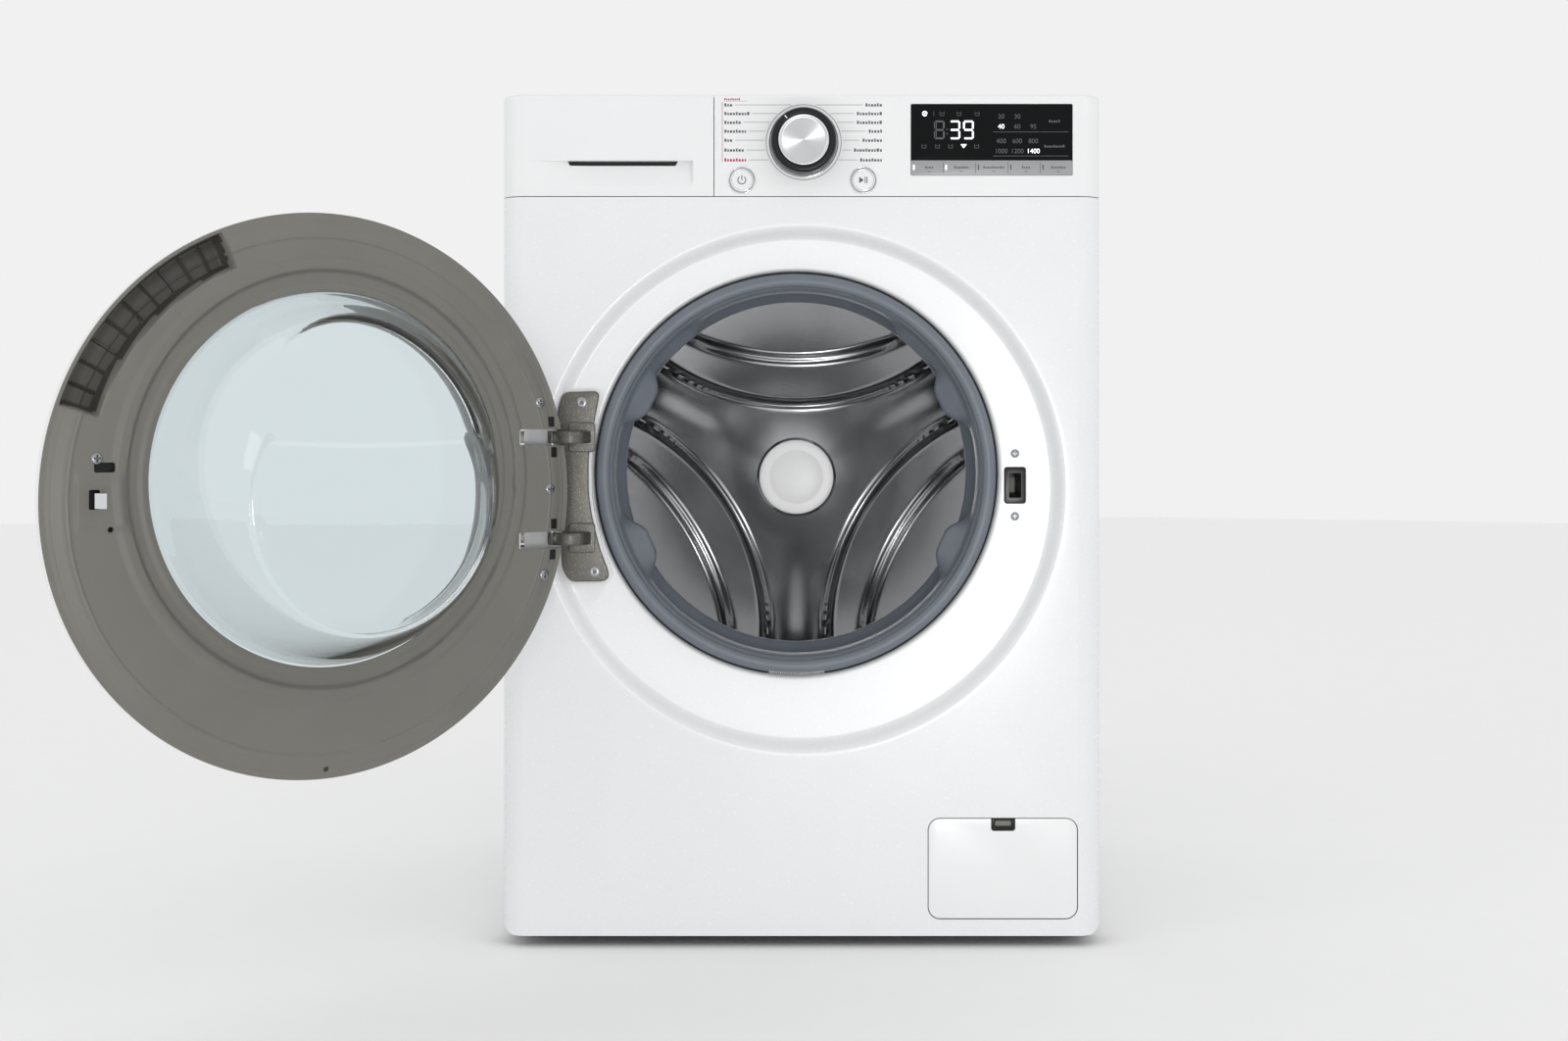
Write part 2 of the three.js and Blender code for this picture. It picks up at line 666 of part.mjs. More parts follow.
function tubBackHalf() {
  const inner = tubRadius - tubWall;
  const { radius: bossRadius, end } = bearingBoss;
  const frontBore = frontBearing.radius + gap;
  const rearBore = rearBearing.radius + gap;
  const shaftHole = shaftRadius + 2;
  const stop = frontBearing.at + frontBearing.width + gap;
  return turned([[inner, gap], [tubRadius + tubFlange, gap], [tubRadius + tubFlange, 6], [tubRadius, 6],
    [tubRadius, tubRear - 2], [tubRadius - 10, tubRear + 9], [stator.step + 8, stator.at - gap],
    [bossRadius, stator.at - gap], [bossRadius, end], [rearBore, end], [rearBore, rearBearing.at],
    [shaftHole, rearBearing.at], [shaftHole, stop], [frontBore, stop], [frontBore, tubRear],
    [inner - 8, tubRear], [inner, tubRear - 8]], axisX, drumZ);
}

function counterweight() {
  const y0 = tubFront - gap - 44;
  const lower = slab(sector(tubRadius - 6, 205, 335, axisX, drumZ), y0, tubFront - gap, longArc);
  return lower.subtract(disc(tubMouth + 16, y0 - 1, tubFront + 1, axisX, drumZ, large));
}

function bearing({ radius, width, at }) {
  return ring(shaftRadius + gap, radius, at + gap, at + width, axisX, drumZ);
}

function shaftSeal() {
  return ring(shaftRadius + gap, frontBearing.radius, frontBearing.at - sealWidth - gap,
    frontBearing.at - gap, axisX, drumZ);
}

function statorRing() {
  const { inner, step, outer, at, end } = stator;
  return turned([[inner, at], [step, at], [step, at + 6], [outer, at + 6], [outer, end],
    [outer - 46, end], [outer - 46, at + 12], [inner, at + 12]], axisX, drumZ, large);
}

function rotorCup() {
  const inside = stator.outer + rotor.gap;
  const { wall, start, end, hub } = rotor;
  return turned([[inside, start], [inside + wall, start], [inside + wall, end], [hub, end], [hub, end + 6],
    [shaftRadius + gap, end + 6], [shaftRadius + gap, end - 8], [hub, end - 8], [hub, end - wall],
    [inside, end - wall]], axisX, drumZ, large);
}

function heater() {
  const depth = drumRadius + tubClearance * 0.4;
  const z = drumZ - depth;
  const half = 16;
  const y0 = tubFront + tubWall + gap;
  const turn = 120;
  const plate = block([axisX - 24, axisX + 24], [y0, y0 + 5], [z - 3, z + 8]);
  const run = (x) => bar([x, y0 + 3, z], [x, turn, z], [[4, 0], [4, turn - y0 - 3]], 8);
  const bend = new THREE.ArcCurve(0, 0, half, 0, Math.PI);
  const points = bend.getPoints(8).map((p) => new THREE.Vector3(axisX + p.x, turn - 0.5 + p.y, z));
  const shape = new THREE.Shape().absarc(0, 0, 4, 0, Math.PI * 2);
  const elbow = solid(new THREE.ExtrudeGeometry(shape, {
    steps: 10, curveSegments: 4, extrudePath: new THREE.CatmullRomCurve3(points), bevelEnabled: false,
  }));
  return join([plate, run(axisX - half), run(axisX + half), elbow]);
}

function drumShell() {
  const r = drumRadius;
  const inner = drumBore;
  return turned([[drumMouth, drumFront], [drumMouth + 4, drumFront - 2], [r - 22, drumFront + 4],
    [r - 6, drumFront + 12], [r, drumFront + 24], [r, drumRear], [inner, drumRear],
    [inner, drumFront + 25], [r - 7, drumFront + 13.5], [r - 22.5, drumFront + 5.5],
    [drumMouth + 4, drumFront]], axisX, drumZ);
}

function drumBack() {
  const edge = drumBore - 2 * gap;
  const wall = 1.2;
  const seat = drumHubDepth + 1;
  return turned([[0, seat], [hubRadius + 3, seat], [edge - 20, drumRear - 16], [edge, drumRear - 14],
    [edge, drumRear], [edge - wall, drumRear], [edge - wall, drumRear - 12.6],
    [edge - 20, drumRear - 14.6], [hubRadius + 3, seat + wall], [0, seat + wall]], axisX, drumZ);
}

function hubCap() {
  const y = drumHubDepth;
  return turned([[0, y - 2.5], [hubRadius - 8, y - 2], [hubRadius, y], [hubRadius, y + 0.7], [0, y + 0.7]],
    axisX, drumZ, medium);
}

function lifter(index) {
  const angle = Math.PI / 6 + (index * 2 * Math.PI) / lifterCount;
  const w = lifterHalfWidth;
  const h = lifterHeight;
  const base = drumBore - 1;
  const hump = polygon([[base + 20, -w - 3], [base + 20, w + 3], [base - h * 0.3, w * 0.72],
    [base - h * 0.88, w * 0.36], [base - h, 0], [base - h * 0.88, -w * 0.36],
    [base - h * 0.3, -w * 0.72]]);
  const geometry = new THREE.ExtrudeGeometry(hump, {
    depth: drumRear - drumFront - 60, bevelEnabled: false,
  });
  geometry.rotateZ(-angle);
  geometry.rotateX(Math.PI / 2);
  geometry.translate(axisX, drumRear - 24, drumZ);
  const bore = disc(drumBore - 2 * gap, drumFront + 30, drumRear - 14 - gap - 2, axisX, drumZ, large);
  return solid(geometry).intersect(bore);
}

function spider() {
  const y0 = drumRear + gap;
  const y1 = y0 + spiderThickness;
  const bore = shaftRadius + gap;
  let body = disc(36, y0, y1, axisX, drumZ);
  for (let i = 0; i < lifterCount; i += 1) {
    const angle = Math.PI / 6 + (i * 2 * Math.PI) / lifterCount;
    const arm = polygon([[10, -22], [drumBore - 6, -9], [drumBore - 6, 9], [10, 22]]);
    const geometry = new THREE.ExtrudeGeometry(arm, { depth: spiderThickness, bevelEnabled: false });
    geometry.rotateZ(-angle);
    geometry.rotateX(Math.PI / 2);
    geometry.translate(axisX, y1, drumZ);
    body = body.add(solid(geometry));
  }
  return body.subtract(disc(bore, y0 - 1, y1 + 1, axisX, drumZ));
}

function drumShaft() {
  return turned([[0, drumRear - 12], [shaftRadius, drumRear - 12], [shaftRadius, shaftEnd],
    [0, shaftEnd]], axisX, drumZ);
}

// ---- suspension

const springTop = (side) => [side * (halfWidth - 24), 0, topZ - 46];
const springFoot = (side) => [axisX + side * 196, 0, drumZ + tubRadius - 66];

function spring(side) {
  const top = new THREE.Vector3(...springTop(side));
  const foot0 = new THREE.Vector3(...springFoot(side));
  const length = top.distanceTo(foot0);
  const turns = 8;
  const steps = turns * 8;
  const coilRadius = 11;
  const points = [];
  for (let i = 0; i <= steps; i += 1) {
    const angle = (i / steps) * turns * 2 * Math.PI;
    points.push(new THREE.Vector3(coilRadius * Math.cos(angle), (i / steps) * length,
      coilRadius * Math.sin(angle)));
  }
  const wire = new THREE.Shape().absarc(0, 0, 2, 0, Math.PI * 2);
  const geometry = new THREE.ExtrudeGeometry(wire, {
    steps, curveSegments: 2, extrudePath: new THREE.CatmullRomCurve3(points), bevelEnabled: false,
  });
  const up = new THREE.Vector3(0, 1, 0);
  const along = top.clone().sub(foot0).normalize();
  geometry.applyQuaternion(new THREE.Quaternion().setFromUnitVectors(up, along));
  geometry.translate(foot0.x, foot0.y, foot0.z);
  return solid(geometry);
}

const damperTop = (side) => [axisX + side * 165, -70, drumZ - tubRadius + 40];
const damperFoot = (side) => [side * (halfWidth - 90), -70, panStep + panThickness + 6];

function damper(side) {
  const top = new THREE.Vector3(...damperTop(side));
  const length = top.distanceTo(new THREE.Vector3(...damperFoot(side)));
  return bar(damperFoot(side), damperTop(side),
    [[9, 0], [9, 10], [15, 14], [15, length * 0.62], [6, length * 0.62 + 1], [6, length - 12],
      [9, length - 10], [9, length]]);
}

// ---- pump, filter and flap

function drainPump() {
  const y0 = front + flap.thickness + bayDepth + 5;
  const bore = filter.radius + runningGap;
  const outer = bore + filter.wall;
  return turned([[0, y0 + filter.bore], [bore, y0 + filter.bore], [bore, y0], [outer, y0],
    [outer, y0 + filter.length], [26, y0 + filter.length + 4], [26, y0 + filter.length + 60],
    [0, y0 + filter.length + 60]], filter.x, filter.z);
}

function filterHousing() {
  const y0 = front + flap.thickness + 2;
  const y1 = front + flap.thickness + bayDepth + 5 - gap;
  const wall = 2;
  const box = (inset, a, b) => block([flap.x0 + 5 + inset, flap.x1 - 5 - inset], [a, b],
    [flap.z0 + 5 + inset, flap.z1 - 5 - inset]);
  return box(0, y0, y1).subtract(box(wall, y0 - 1, y1 - wall))
    .subtract(disc(filter.radius + 1, y0, y1 + 1, filter.x, filter.z));
}

function filterPlug() {
  const y0 = front + flap.thickness + bayDepth + 5;
  const body = disc(filter.radius, y0 - 4, y0 + 18, filter.x, filter.z);
  const grip = block([filter.x - 21, filter.x + 21], [y0 - 16, y0 - 3], [filter.z - 4, filter.z + 4]);
  return body.add(grip);
}

function filterFlap() {
  const half = flap.thickness / 2;
  const plate = slab(rectangle(flap.x0, flap.x1, flap.z0, flap.z1, flap.corner),
    front, front + flap.thickness);
  const rounding = block([flap.x0 - 1, flap.x1 + 1], [front - 1, front + flap.thickness + 1],
    [flap.z0 - 1, flap.z0 + half]);
  const barrel = bar([flap.x0 + flap.corner, front + half, flap.z0 + half],
    [flap.x1 - flap.corner, front + half, flap.z0 + half],
    [[half, 0], [half, flap.x1 - flap.x0 - 2 * flap.corner]], 12);
  const notch = block([flapNotch.x - flapNotch.width / 2, flapNotch.x + flapNotch.width / 2],
    [front - 1, front + flap.thickness - 1.5], [flap.z1 - flapNotch.height, flap.z1 + 1]);
  return plate.subtract(rounding).add(barrel).subtract(notch);
}

// ---- lock and rear fittings

function doorLock() {
  const { x, z, width, height, depth, wall, corner } = lockSlot;
  const face = dishY - 1.5;
  const bezel = slab(rectangle(x - width / 2, x + width / 2, z - height / 2, z + height / 2, corner),
    face, dishY + 6);
  const body = block([x - width / 2 - wall, x + 24], [dishY + sheet + gap, face + depth + wall],
    [z - lockBodyHalf, z + lockBodyHalf]);
  const slot = block([x - width / 2 + wall, x + width / 2 - wall], [face - 1, face + depth],
    [z - height / 2 + wall, z + height / 2 - wall]);
  return bezel.add(body).subtract(slot);
}

function inletValve() {
  const { x, z, radius, proud } = inlet;
  const spout = disc(radius, rearPanelY - 12, rear + proud, x, z)
    .subtract(disc(radius - 3, rear - 8, rear + proud + 1, x, z));
  const body = block([x - 18, x + 18], [rearPanelY - 62, rearPanelY - 11], [z - 20, z + 20]);
  const flange = disc(radius + 6, rearPanelY - 4, rearPanelY - gap, x, z);
  return join([spout, body, flange]);
}

function drainSpigot() {
  const { x, z, radius, proud } = spigot;
  return join([disc(radius, rearPanelY - 20, rear + proud, x, z),
    disc(radius + 5, rearPanelY - 4, rearPanelY - gap, x, z),
    disc(radius + 1.5, rear + proud - 6, rear + proud - 3, x, z)])
    .subtract(disc(radius - 2.5, rearPanelY - 10, rear + proud + 1, x, z));
}

function cordGland() {
  const { x, z, radius, proud } = gland;
  return join([disc(radius, rearPanelY - 10, rear + proud, x, z),
    disc(radius + 4, rearPanelY - 4, rearPanelY - gap, x, z),
    disc(radius + 4, rearPanelY + sheet + gap, rearPanelY + sheet + gap + 3, x, z)]);
}

// ---- door hinge on the cabinet side

// corners of the bracket as x and z: its left edge steps in between the arms, where the door's rim
// swings past
const bracketCorners = [[-238, 553], [-244, 533], [-243, 503], [-237.5, 494], [-237.5, 417],
  [-240.5, 408], [-239.6, 377], [-231.6, 363.4], [-195.4, 364], [-192, 371], [-201.5, 396],
  [-209.7, 429], [-213, 453], [-213, 489], [-209, 514], [-201.5, 554]];
const bracketBack = front + bracketSeat - gap;

// The bracket's outline, moved out from its middle by a margin.
function bracketOutline(margin) {
  const [midX, midZ] = [-220, 459];
  return polygon(bracketCorners.map(([x, z]) =>
    [x + margin * Math.sign(x - midX), z + margin * Math.sign(z - midZ)]));
}

function hingeBracket() {
  const face = bracketBack - bracketThickness;
  const plate = slab(bracketOutline(0), face, bracketBack);
  const y = (d) => front - d;
  const path = [[hingeX, hingeOut], [-238, 22], [-229, 25], [-220, 21], [-214, 10], [-213, -5]];
  const half = armThickness / 2;
  const points = path.map(([x, d]) => new THREE.Vector2(x, y(d)));
  const side = (sign) => points.map((p, i) => {
    const before = points[Math.max(i - 1, 0)];
    const after = points[Math.min(i + 1, points.length - 1)];
    const along = after.clone().sub(before).normalize();
    return [p.x - sign * half * along.y, p.y + sign * half * along.x];
  });
  const ribbon = polygon([...side(1), ...side(-1).reverse()]);
  let body = plate;
  for (const z of armHeights) {
    const [z0, z1] = [z - armHeight / 2, z + armHeight / 2];
    const barrel = upright([[0, z0], [barrelRadius, z0], [barrelRadius, z1], [0, z1]], hingeX, y(hingeOut));
    const housing = block([-224, -211], [face - 2, face + 1], [z0 - 1, z1 + 1]);
    body = join([body, column(ribbon, z0, z1), barrel, housing]);
    const bore = pinRadius + runningGap;
    body = body.subtract(upright([[0, z0 - 1], [bore, z0 - 1], [bore, z1 + 1], [0, z1 + 1]],
      hingeX, y(hingeOut), small));
  }
  return body;
}

// ---- door, drawn closed

const doorX = 0;
const doorY = (d) => front - d;
const atDoor = (profile) => profile.map(([r, d, drop]) => [r, doorY(d), drop]);
const armSlots = (depth) => armHeights.map((z) =>
  block([hingeX - 15, hingeX + 44], [doorY(-3), doorY(depth)], [z - slotHeight / 2, z + slotHeight / 2]));

function doorCover() {
  const r = doorRadius;
  const w = doorWall;
  const seat = windowRadius + gap;
  const ledge = seat - 10;
  const shell = turned(atDoor([[r, doorBack], [r, doorRim], [r - 8, doorRim + 8], [r - 23, doorRim + 19],
    [r - 44, doorRim + 27], [seat, windowSeat + 1], [seat, windowSeat], [ledge, windowSeat],
    [ledge, windowSeat - w], [r - 45, doorRim + 27 - w], [r - 24.4, doorRim + 19 - w],
    [r - 10, doorRim + 8 - w + 0.6], [r - w, doorRim - 1], [r - w, doorBack]]), doorX, dishZ);
  return shell.subtract(join(armSlots(doorRim + 3)));
}

function doorWindow() {
  const s = windowSeat + gap;
  return turned(atDoor([[0, s], [windowRadius, s], [windowRadius, s + 2], [windowRadius - 5, s + 4.2],
    [windowRadius - 70, s + 5], [0, s + 5.3]]), doorX, dishZ);
}

function doorInnerFrame() {
  const r = doorRadius - doorWall - gap;
  const back = doorBack;
  const floor = back + frameThickness;
  const plate = turned(atDoor([[0, back], [r, back], [r, floor], [0, floor]]), doorX, dishZ);
  const w = frameThickness;
  const { inner, outer, depth, from, to } = pocket;
  // the finger pocket is a trough whose section is turned, then cut to its sector
  const section = (grow) => atDoor([[inner - grow, back - (grow ? 0 : 2)], [outer, back - (grow ? 0 : 2)],
    [outer, 13], [outer - 6 - grow / 2, depth + grow], [inner + 4 - grow, depth + grow]]);
  const wedge = (grow) => slab(sector(doorRadius, from - grow, to + grow, doorX, dishZ),
    doorY(-3), doorY(40), longArc);
  const trough = turned(section(w), doorX, dishZ).intersect(wedge(0.6));
  const hollow = turned(section(0), doorX, dishZ).intersect(wedge(0));
  const opening = disc(glassRadius, doorY(-5), doorY(40), axisX, portholeZ, large);
  const holder = block([hingeX - 3.8, hingeX + 6], [doorY(back + 1), doorY(hingeOut + 3.5)],
    [armHeights[1] + slotHeight / 2, armHeights[0] - slotHeight / 2]);
  const bore = pinRadius + gap;
  const [hole0, hole1] = [armHeights[1] - 27, armHeights[0] + 32];
  const pinHole = upright([[0, hole0], [bore, hole0], [bore, hole1], [0, hole1]],
    hingeX, doorY(hingeOut), small);
  const hookHole = block([latch.x - latch.width, latch.x + latch.width], [doorY(-5), doorY(6)],
    [latch.z - latch.height / 2 - 2, latch.z + latch.height / 2 + 2]);
  return join([plate, trough, holder]).subtract(hollow).subtract(opening).subtract(pinHole)
    .subtract(hookHole).subtract(join(armSlots(hingeOut + 6)));
}

function doorBowl() {
  const r = glassRadius - 1;
  const seat = doorBack + frameThickness + gap;
  const flange = glassRadius + 12;
  // rings from the flange down to the bottom: radius, distance in front of the panel, drop
  const outside = [[flange, seat], [r, seat], [r - 3, -20, 1], [r - 12, -58, 8], [r - 28, -92, 19],
    [r - 46, -111, 27], [r - 66, -bowlDepth + 1, bowlDrop], [0, -bowlDepth, bowlDrop]];
  const g = glass;
  const inside = [[0, -bowlDepth + g, bowlDrop], [r - 67, -bowlDepth + g + 1, bowlDrop],
    [r - 49, -108, 27], [r - 31.5, -90, 19], [r - 16, -57, 8], [r - 7, -20, 1], [r - g, seat + g],
    [flange, seat + g]];
  return turned(atDoor([...inside, ...outside]), axisX, portholeZ);
}

function hingePin() {
  const z0 = armHeights[1] - armHeight / 2;
  const z1 = armHeights[0] + armHeight / 2;
  return upright([[0, z0], [pinRadius, z0], [pinRadius, z1], [0, z1]], hingeX, doorY(hingeOut), small);
}

function latchHook() {
  const { x, z, reach, height } = latch;
  const [z0, z1] = [z - height / 2, z + height / 2];
  const outline = polygon([[x - 6, doorY(12)], [x, doorY(12)], [x + 1, doorY(0)],
    [x + 2, doorY(9 - reach)], [x + 5.5, doorY(8 - reach)], [x + 2, doorY(-reach)],
    [x - 2, doorY(-reach)], [x - 3, doorY(0)]].reverse());
  return column(outline, z0, z1);
}

// ---- assembly

const machine = new THREE.Group();
const addTo = (group, name, body, material) => group.add(piece(name, body, material));
const add = (name, body, material) => addTo(machine, name, body, material);

add('front_panel', frontPanel(), whiteSteel());
add('side_panel_left', sidePanel(-1), whiteSteel());
add('side_panel_right', sidePanel(1), whiteSteel());
add('rear_panel', rearPanel(), whiteSteel());
add('rear_cover', rearCover(), galvanised());
add('top_panel', topPanel(), whitePlastic());
add('base_pan', basePan(), blackPlastic());
add('front_crossbar', frontCrossbar(), galvanised());
add('control_console', controlConsole(), whitePlastic());
add('display_window', displayWindow(), blackPlastic());
add('control_board', controlBoard(), finish(0x1f5a35, 0.6, 0));
add('dispenser_housing', dispenserHousing(), tubPlastic());
add('door_lock', doorLock(), blackPlastic());
add('hinge_bracket', hingeBracket(), castMetal());
add('gasket', gasket(), gasketRubber());
add('drain_pump', drainPump(), whitePlastic());
add('filter_housing', filterHousing(), blackPlastic());
add('inlet_valve', inletValve(), whitePlastic());
add('drain_spigot', drainSpigot(), greyPlastic());
add('cord_gland', cordGland(), darkRubber());

const footNames = ['foot_front_left', 'foot_front_right', 'foot_rear_left', 'foot_rear_right'];
footPlaces().forEach(([x, y], i) => add(footNames[i], foot(x, y), darkRubber()));

add('dial_knob', dialKnob(), blackPlastic());
add('dial_cap', dialCap(), finish(0xc8cacc, 0.3, 1));
add('power_button', pushButton(button.x[0]), whitePlastic());
add('start_button', pushButton(button.x[1]), whitePlastic());
add('drawer_front', drawerFront(), whitePlastic());
add('drawer_tray', drawerTray(), tubPlastic());
add('softener_cap', softenerCap(), finish(0x4f7fb5, 0.4, 0));
add('filter_flap', filterFlap(), whitePlastic());
add('filter_plug', filterPlug(), blackPlastic());

add('tub_front', tubFrontHalf(), tubPlastic());
add('tub_back', tubBackHalf(), tubPlastic());
add('counterweight', counterweight(), concrete());
add('heater', heater(), steel());
add('stator', statorRing(), finish(0x9a4f2a, 0.5, 0.6));
add('bearing_front', bearing(frontBearing), steel());
add('bearing_rear', bearing(rearBearing), steel());
add('shaft_seal', shaftSeal(), darkRubber());
for (const [name, side] of [['left', -1], ['right', 1]]) {
  add(`spring_${name}`, spring(side), steel());
  add(`damper_${name}`, damper(side), blackPlastic());
}

add('drum_shell', drumShell(), stainless());
add('drum_back', drumBack(), stainless());
add('hub_cap', hubCap(), finish(0xf2f2f2, 0.25, 0.2));
for (let i = 0; i < lifterCount; i += 1) add(`lifter_${i + 1}`, lifter(i), stainless());
add('spider', spider(), finish(0xa5a8aa, 0.5, 0.9));
add('drum_shaft', drumShaft(), steel());
add('rotor', rotorCup(), blackPlastic());

const door = new THREE.Group();
door.position.set(hingeX, doorY(hingeOut), 0);
door.rotation.z = -THREE.MathUtils.degToRad(doorOpening);
const closedDoor = new THREE.Group();
closedDoor.position.set(-hingeX, -doorY(hingeOut), 0);
door.add(closedDoor);
machine.add(door);
const addDoor = (name, body, material) => addTo(closedDoor, name, body, material);

addDoor('door_cover', doorCover(), whitePlastic());
addDoor('door_window', doorWindow(), finish(0x22252a, 0.1, 0));
addDoor('door_inner_frame', doorInnerFrame(), greyPlastic());
addDoor('door_bowl', doorBowl(), clearGlass());
addDoor('hinge_pin', hingePin(), steel());
addDoor('latch_hook', latchHook(), finish(0xd5d6d8, 0.15, 1));

export default machine;
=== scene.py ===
"""Looks of a front load washing machine with its door open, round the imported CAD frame.

Shapes are worked out in millimetres with numpy, X to the right, Y to the back, Z up, and are
turned to metres where a mesh is made. The door is drawn closed, where d is the distance in
front of the cabinet's face, and then swung open about the hinge's own axis.
"""
import json
import math

import bmesh
import bpy
import numpy as np
from mathutils import Matrix, Vector


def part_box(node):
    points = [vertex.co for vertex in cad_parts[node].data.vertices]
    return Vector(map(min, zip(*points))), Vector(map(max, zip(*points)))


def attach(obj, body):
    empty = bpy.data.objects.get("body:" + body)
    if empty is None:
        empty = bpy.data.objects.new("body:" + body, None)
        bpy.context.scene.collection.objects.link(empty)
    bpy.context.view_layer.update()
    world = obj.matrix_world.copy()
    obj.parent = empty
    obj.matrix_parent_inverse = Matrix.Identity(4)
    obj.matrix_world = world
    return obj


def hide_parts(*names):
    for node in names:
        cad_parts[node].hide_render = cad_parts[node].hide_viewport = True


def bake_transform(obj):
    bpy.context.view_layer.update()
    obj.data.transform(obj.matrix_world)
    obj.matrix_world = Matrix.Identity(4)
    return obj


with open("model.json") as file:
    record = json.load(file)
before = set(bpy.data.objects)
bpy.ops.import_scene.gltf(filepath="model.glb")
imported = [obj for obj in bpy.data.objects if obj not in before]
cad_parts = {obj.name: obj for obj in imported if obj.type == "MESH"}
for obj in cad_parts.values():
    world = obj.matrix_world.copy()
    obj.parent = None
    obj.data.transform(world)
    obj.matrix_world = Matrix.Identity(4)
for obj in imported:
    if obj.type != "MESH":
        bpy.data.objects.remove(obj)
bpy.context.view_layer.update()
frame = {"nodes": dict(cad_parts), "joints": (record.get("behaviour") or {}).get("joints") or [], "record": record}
scene = bpy.context.scene
joints = {joint["name"]: joint for joint in frame["joints"]}
MM = 0.001


def span(node):
    """Lowest and highest corner of a CAD node, in millimetres."""
    low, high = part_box(node)
    return np.array(low) / MM, np.array(high) / MM


# ---- driving places, read from the frame
PANEL_LOW, PANEL_HIGH = span("front_panel")
FRONT = PANEL_LOW[1]
RETURN = PANEL_HIGH[1]
SKIRT, STRIP = PANEL_LOW[2], PANEL_HIGH[2]
HALF_WIDTH = PANEL_HIGH[0]
CONSOLE_LOW, CONSOLE_HIGH = span("control_console")
DRAWER_LOW, DRAWER_HIGH = span("drawer_front")
TOP = CONSOLE_HIGH[2]
HUB_LOW, HUB_HIGH = span("hub_cap")
AXIS_X, _, DRUM_Z = (HUB_LOW + HUB_HIGH) / 2
HUB_RADIUS = (HUB_HIGH[0] - HUB_LOW[0]) / 2
DRUM_LOW, DRUM_HIGH = span("drum_shell")
DRUM_RADIUS = (DRUM_HIGH[0] - DRUM_LOW[0]) / 2
HINGE = np.array(joints["door_hinge"]["pos_m"]) / MM
OPENING = joints["door_hinge"]["range_deg"][1]

# ---- sizes that the frame's boxes don't give
EDGE = 25.0            # vertical front edges of the cabinet
CORNER = 14.0          # lower front corners
SHEET = 1.0
WALL = 2.5
SEAM = 0.8
PORTHOLE = np.array([AXIS_X, 471.4])
PORTHOLE_RADIUS = 202.0
COLLAR = 12.0
DISH = np.array([0.0, 455.8])
DISH_RADIUS = 264.0
DISH_SLOPE = 15.0
DISH_DEPTH = 12.0
GLASS_RADIUS = 172.2
ARM_HEIGHTS = (508.0, 407.5)
BRACKET = [(-238, 553), (-244, 533), (-243, 503), (-237.5, 494), (-237.5, 417), (-240.5, 408), (-239.6, 377),
           (-231.6, 363.4), (-195.4, 364), (-192, 371), (-201.5, 396), (-209.7, 429), (-213, 453), (-213, 489),
           (-209, 514), (-201.5, 554)]
BRACKET_SEAT = 7.2
BRACKET_FACE = FRONT + 2.2
LOCK = np.array([214.0, 459.6])
CATCH_X = 201.0        # middle of the service flap's catch
ARM_HALF = 6.0         # half the height of a hinge arm


# ---- camera
def studio_camera():
    """A level camera in front of the machine, a little over two metres away."""
    data = bpy.data.cameras.new("camera")
    camera = bpy.data.objects.new("camera", data)
    scene.collection.objects.link(camera)
    camera.location = (-0.0039, FRONT * MM - 2.1, 0.527)
    camera.rotation_euler = (math.pi / 2, 0, 0)
    data.sensor_width = 36
    data.lens = 48.35
    data.shift_x = -0.00875
    data.shift_y = -0.0653
    data.clip_end = 50
    scene.camera = camera


studio_camera()


# ---- materials
def linear(code):
    """The linear colour of an sRGB hex value: each channel c becomes ((c + 0.055) / 1.055) ** 2.4."""
    channels = np.array([int(code[i:i + 2], 16) for i in (1, 3, 5)]) / 255
    low = channels / 12.92
    high = ((channels + 0.055) / 1.055) ** 2.4
    return (*np.where(channels <= 0.04045, low, high), 1.0)


def add_node(tree, kind, inputs=None, **settings):
    """A node with its settings as attributes, and its inputs as values or as links."""
    made = tree.nodes.new(kind)
    for name, value in settings.items():
        setattr(made, name, value)
    for key, value in (inputs or {}).items():
        if isinstance(value, bpy.types.NodeSocket):
            tree.links.new(value, made.inputs[key])
        else:
            made.inputs[key].default_value = value
    return made


def finish(name, colour, shade, roughness, grain, height, metallic=0.0, spread=0.05, stretch=(1, 1, 1),
           cloud=60.0, **constant):
    """A surface whose colour drifts between two hex values over clouds of a size in millimetres, with a
    grain of a size and height in millimetres that also moves the roughness by the spread."""
    made = bpy.data.materials.new(name)
    made.use_nodes = True
    tree = made.node_tree
    shader = tree.nodes["Principled BSDF"]
    shader.inputs["Metallic"].default_value = metallic
    for key, value in constant.items():
        shader.inputs[key.replace("_", " ")].default_value = value
    place = add_node(tree, "ShaderNodeTexCoord").outputs["Object"]
    along = add_node(tree, "ShaderNodeMapping", {"Vector": place, "Scale": stretch})
    drift = add_node(tree, "ShaderNodeTexNoise", {"Vector": place, "Scale": 1 / (cloud * MM), "Detail": 3.0})
    fine = add_node(tree, "ShaderNodeTexNoise", {
        "Vector": along.outputs["Vector"], "Scale": 1 / (grain * MM), "Detail": 2.0})
    mixed = add_node(tree, "ShaderNodeMix", {0: drift.outputs["Fac"], 6: linear(colour), 7: linear(shade)},
                     data_type="RGBA")
    rough = add_node(tree, "ShaderNodeMapRange", {
        "Value": fine.outputs["Fac"], "To Min": roughness - spread, "To Max": roughness + spread})
    bump = add_node(tree, "ShaderNodeBump", {
        "Height": fine.outputs["Fac"], "Strength": 1.0, "Distance": height * MM})
    tree.links.new(mixed.outputs[2], shader.inputs["Base Color"])
    tree.links.new(rough.outputs["Result"], shader.inputs["Roughness"])
    tree.links.new(bump.outputs["Normal"], shader.inputs["Normal"])
    return made


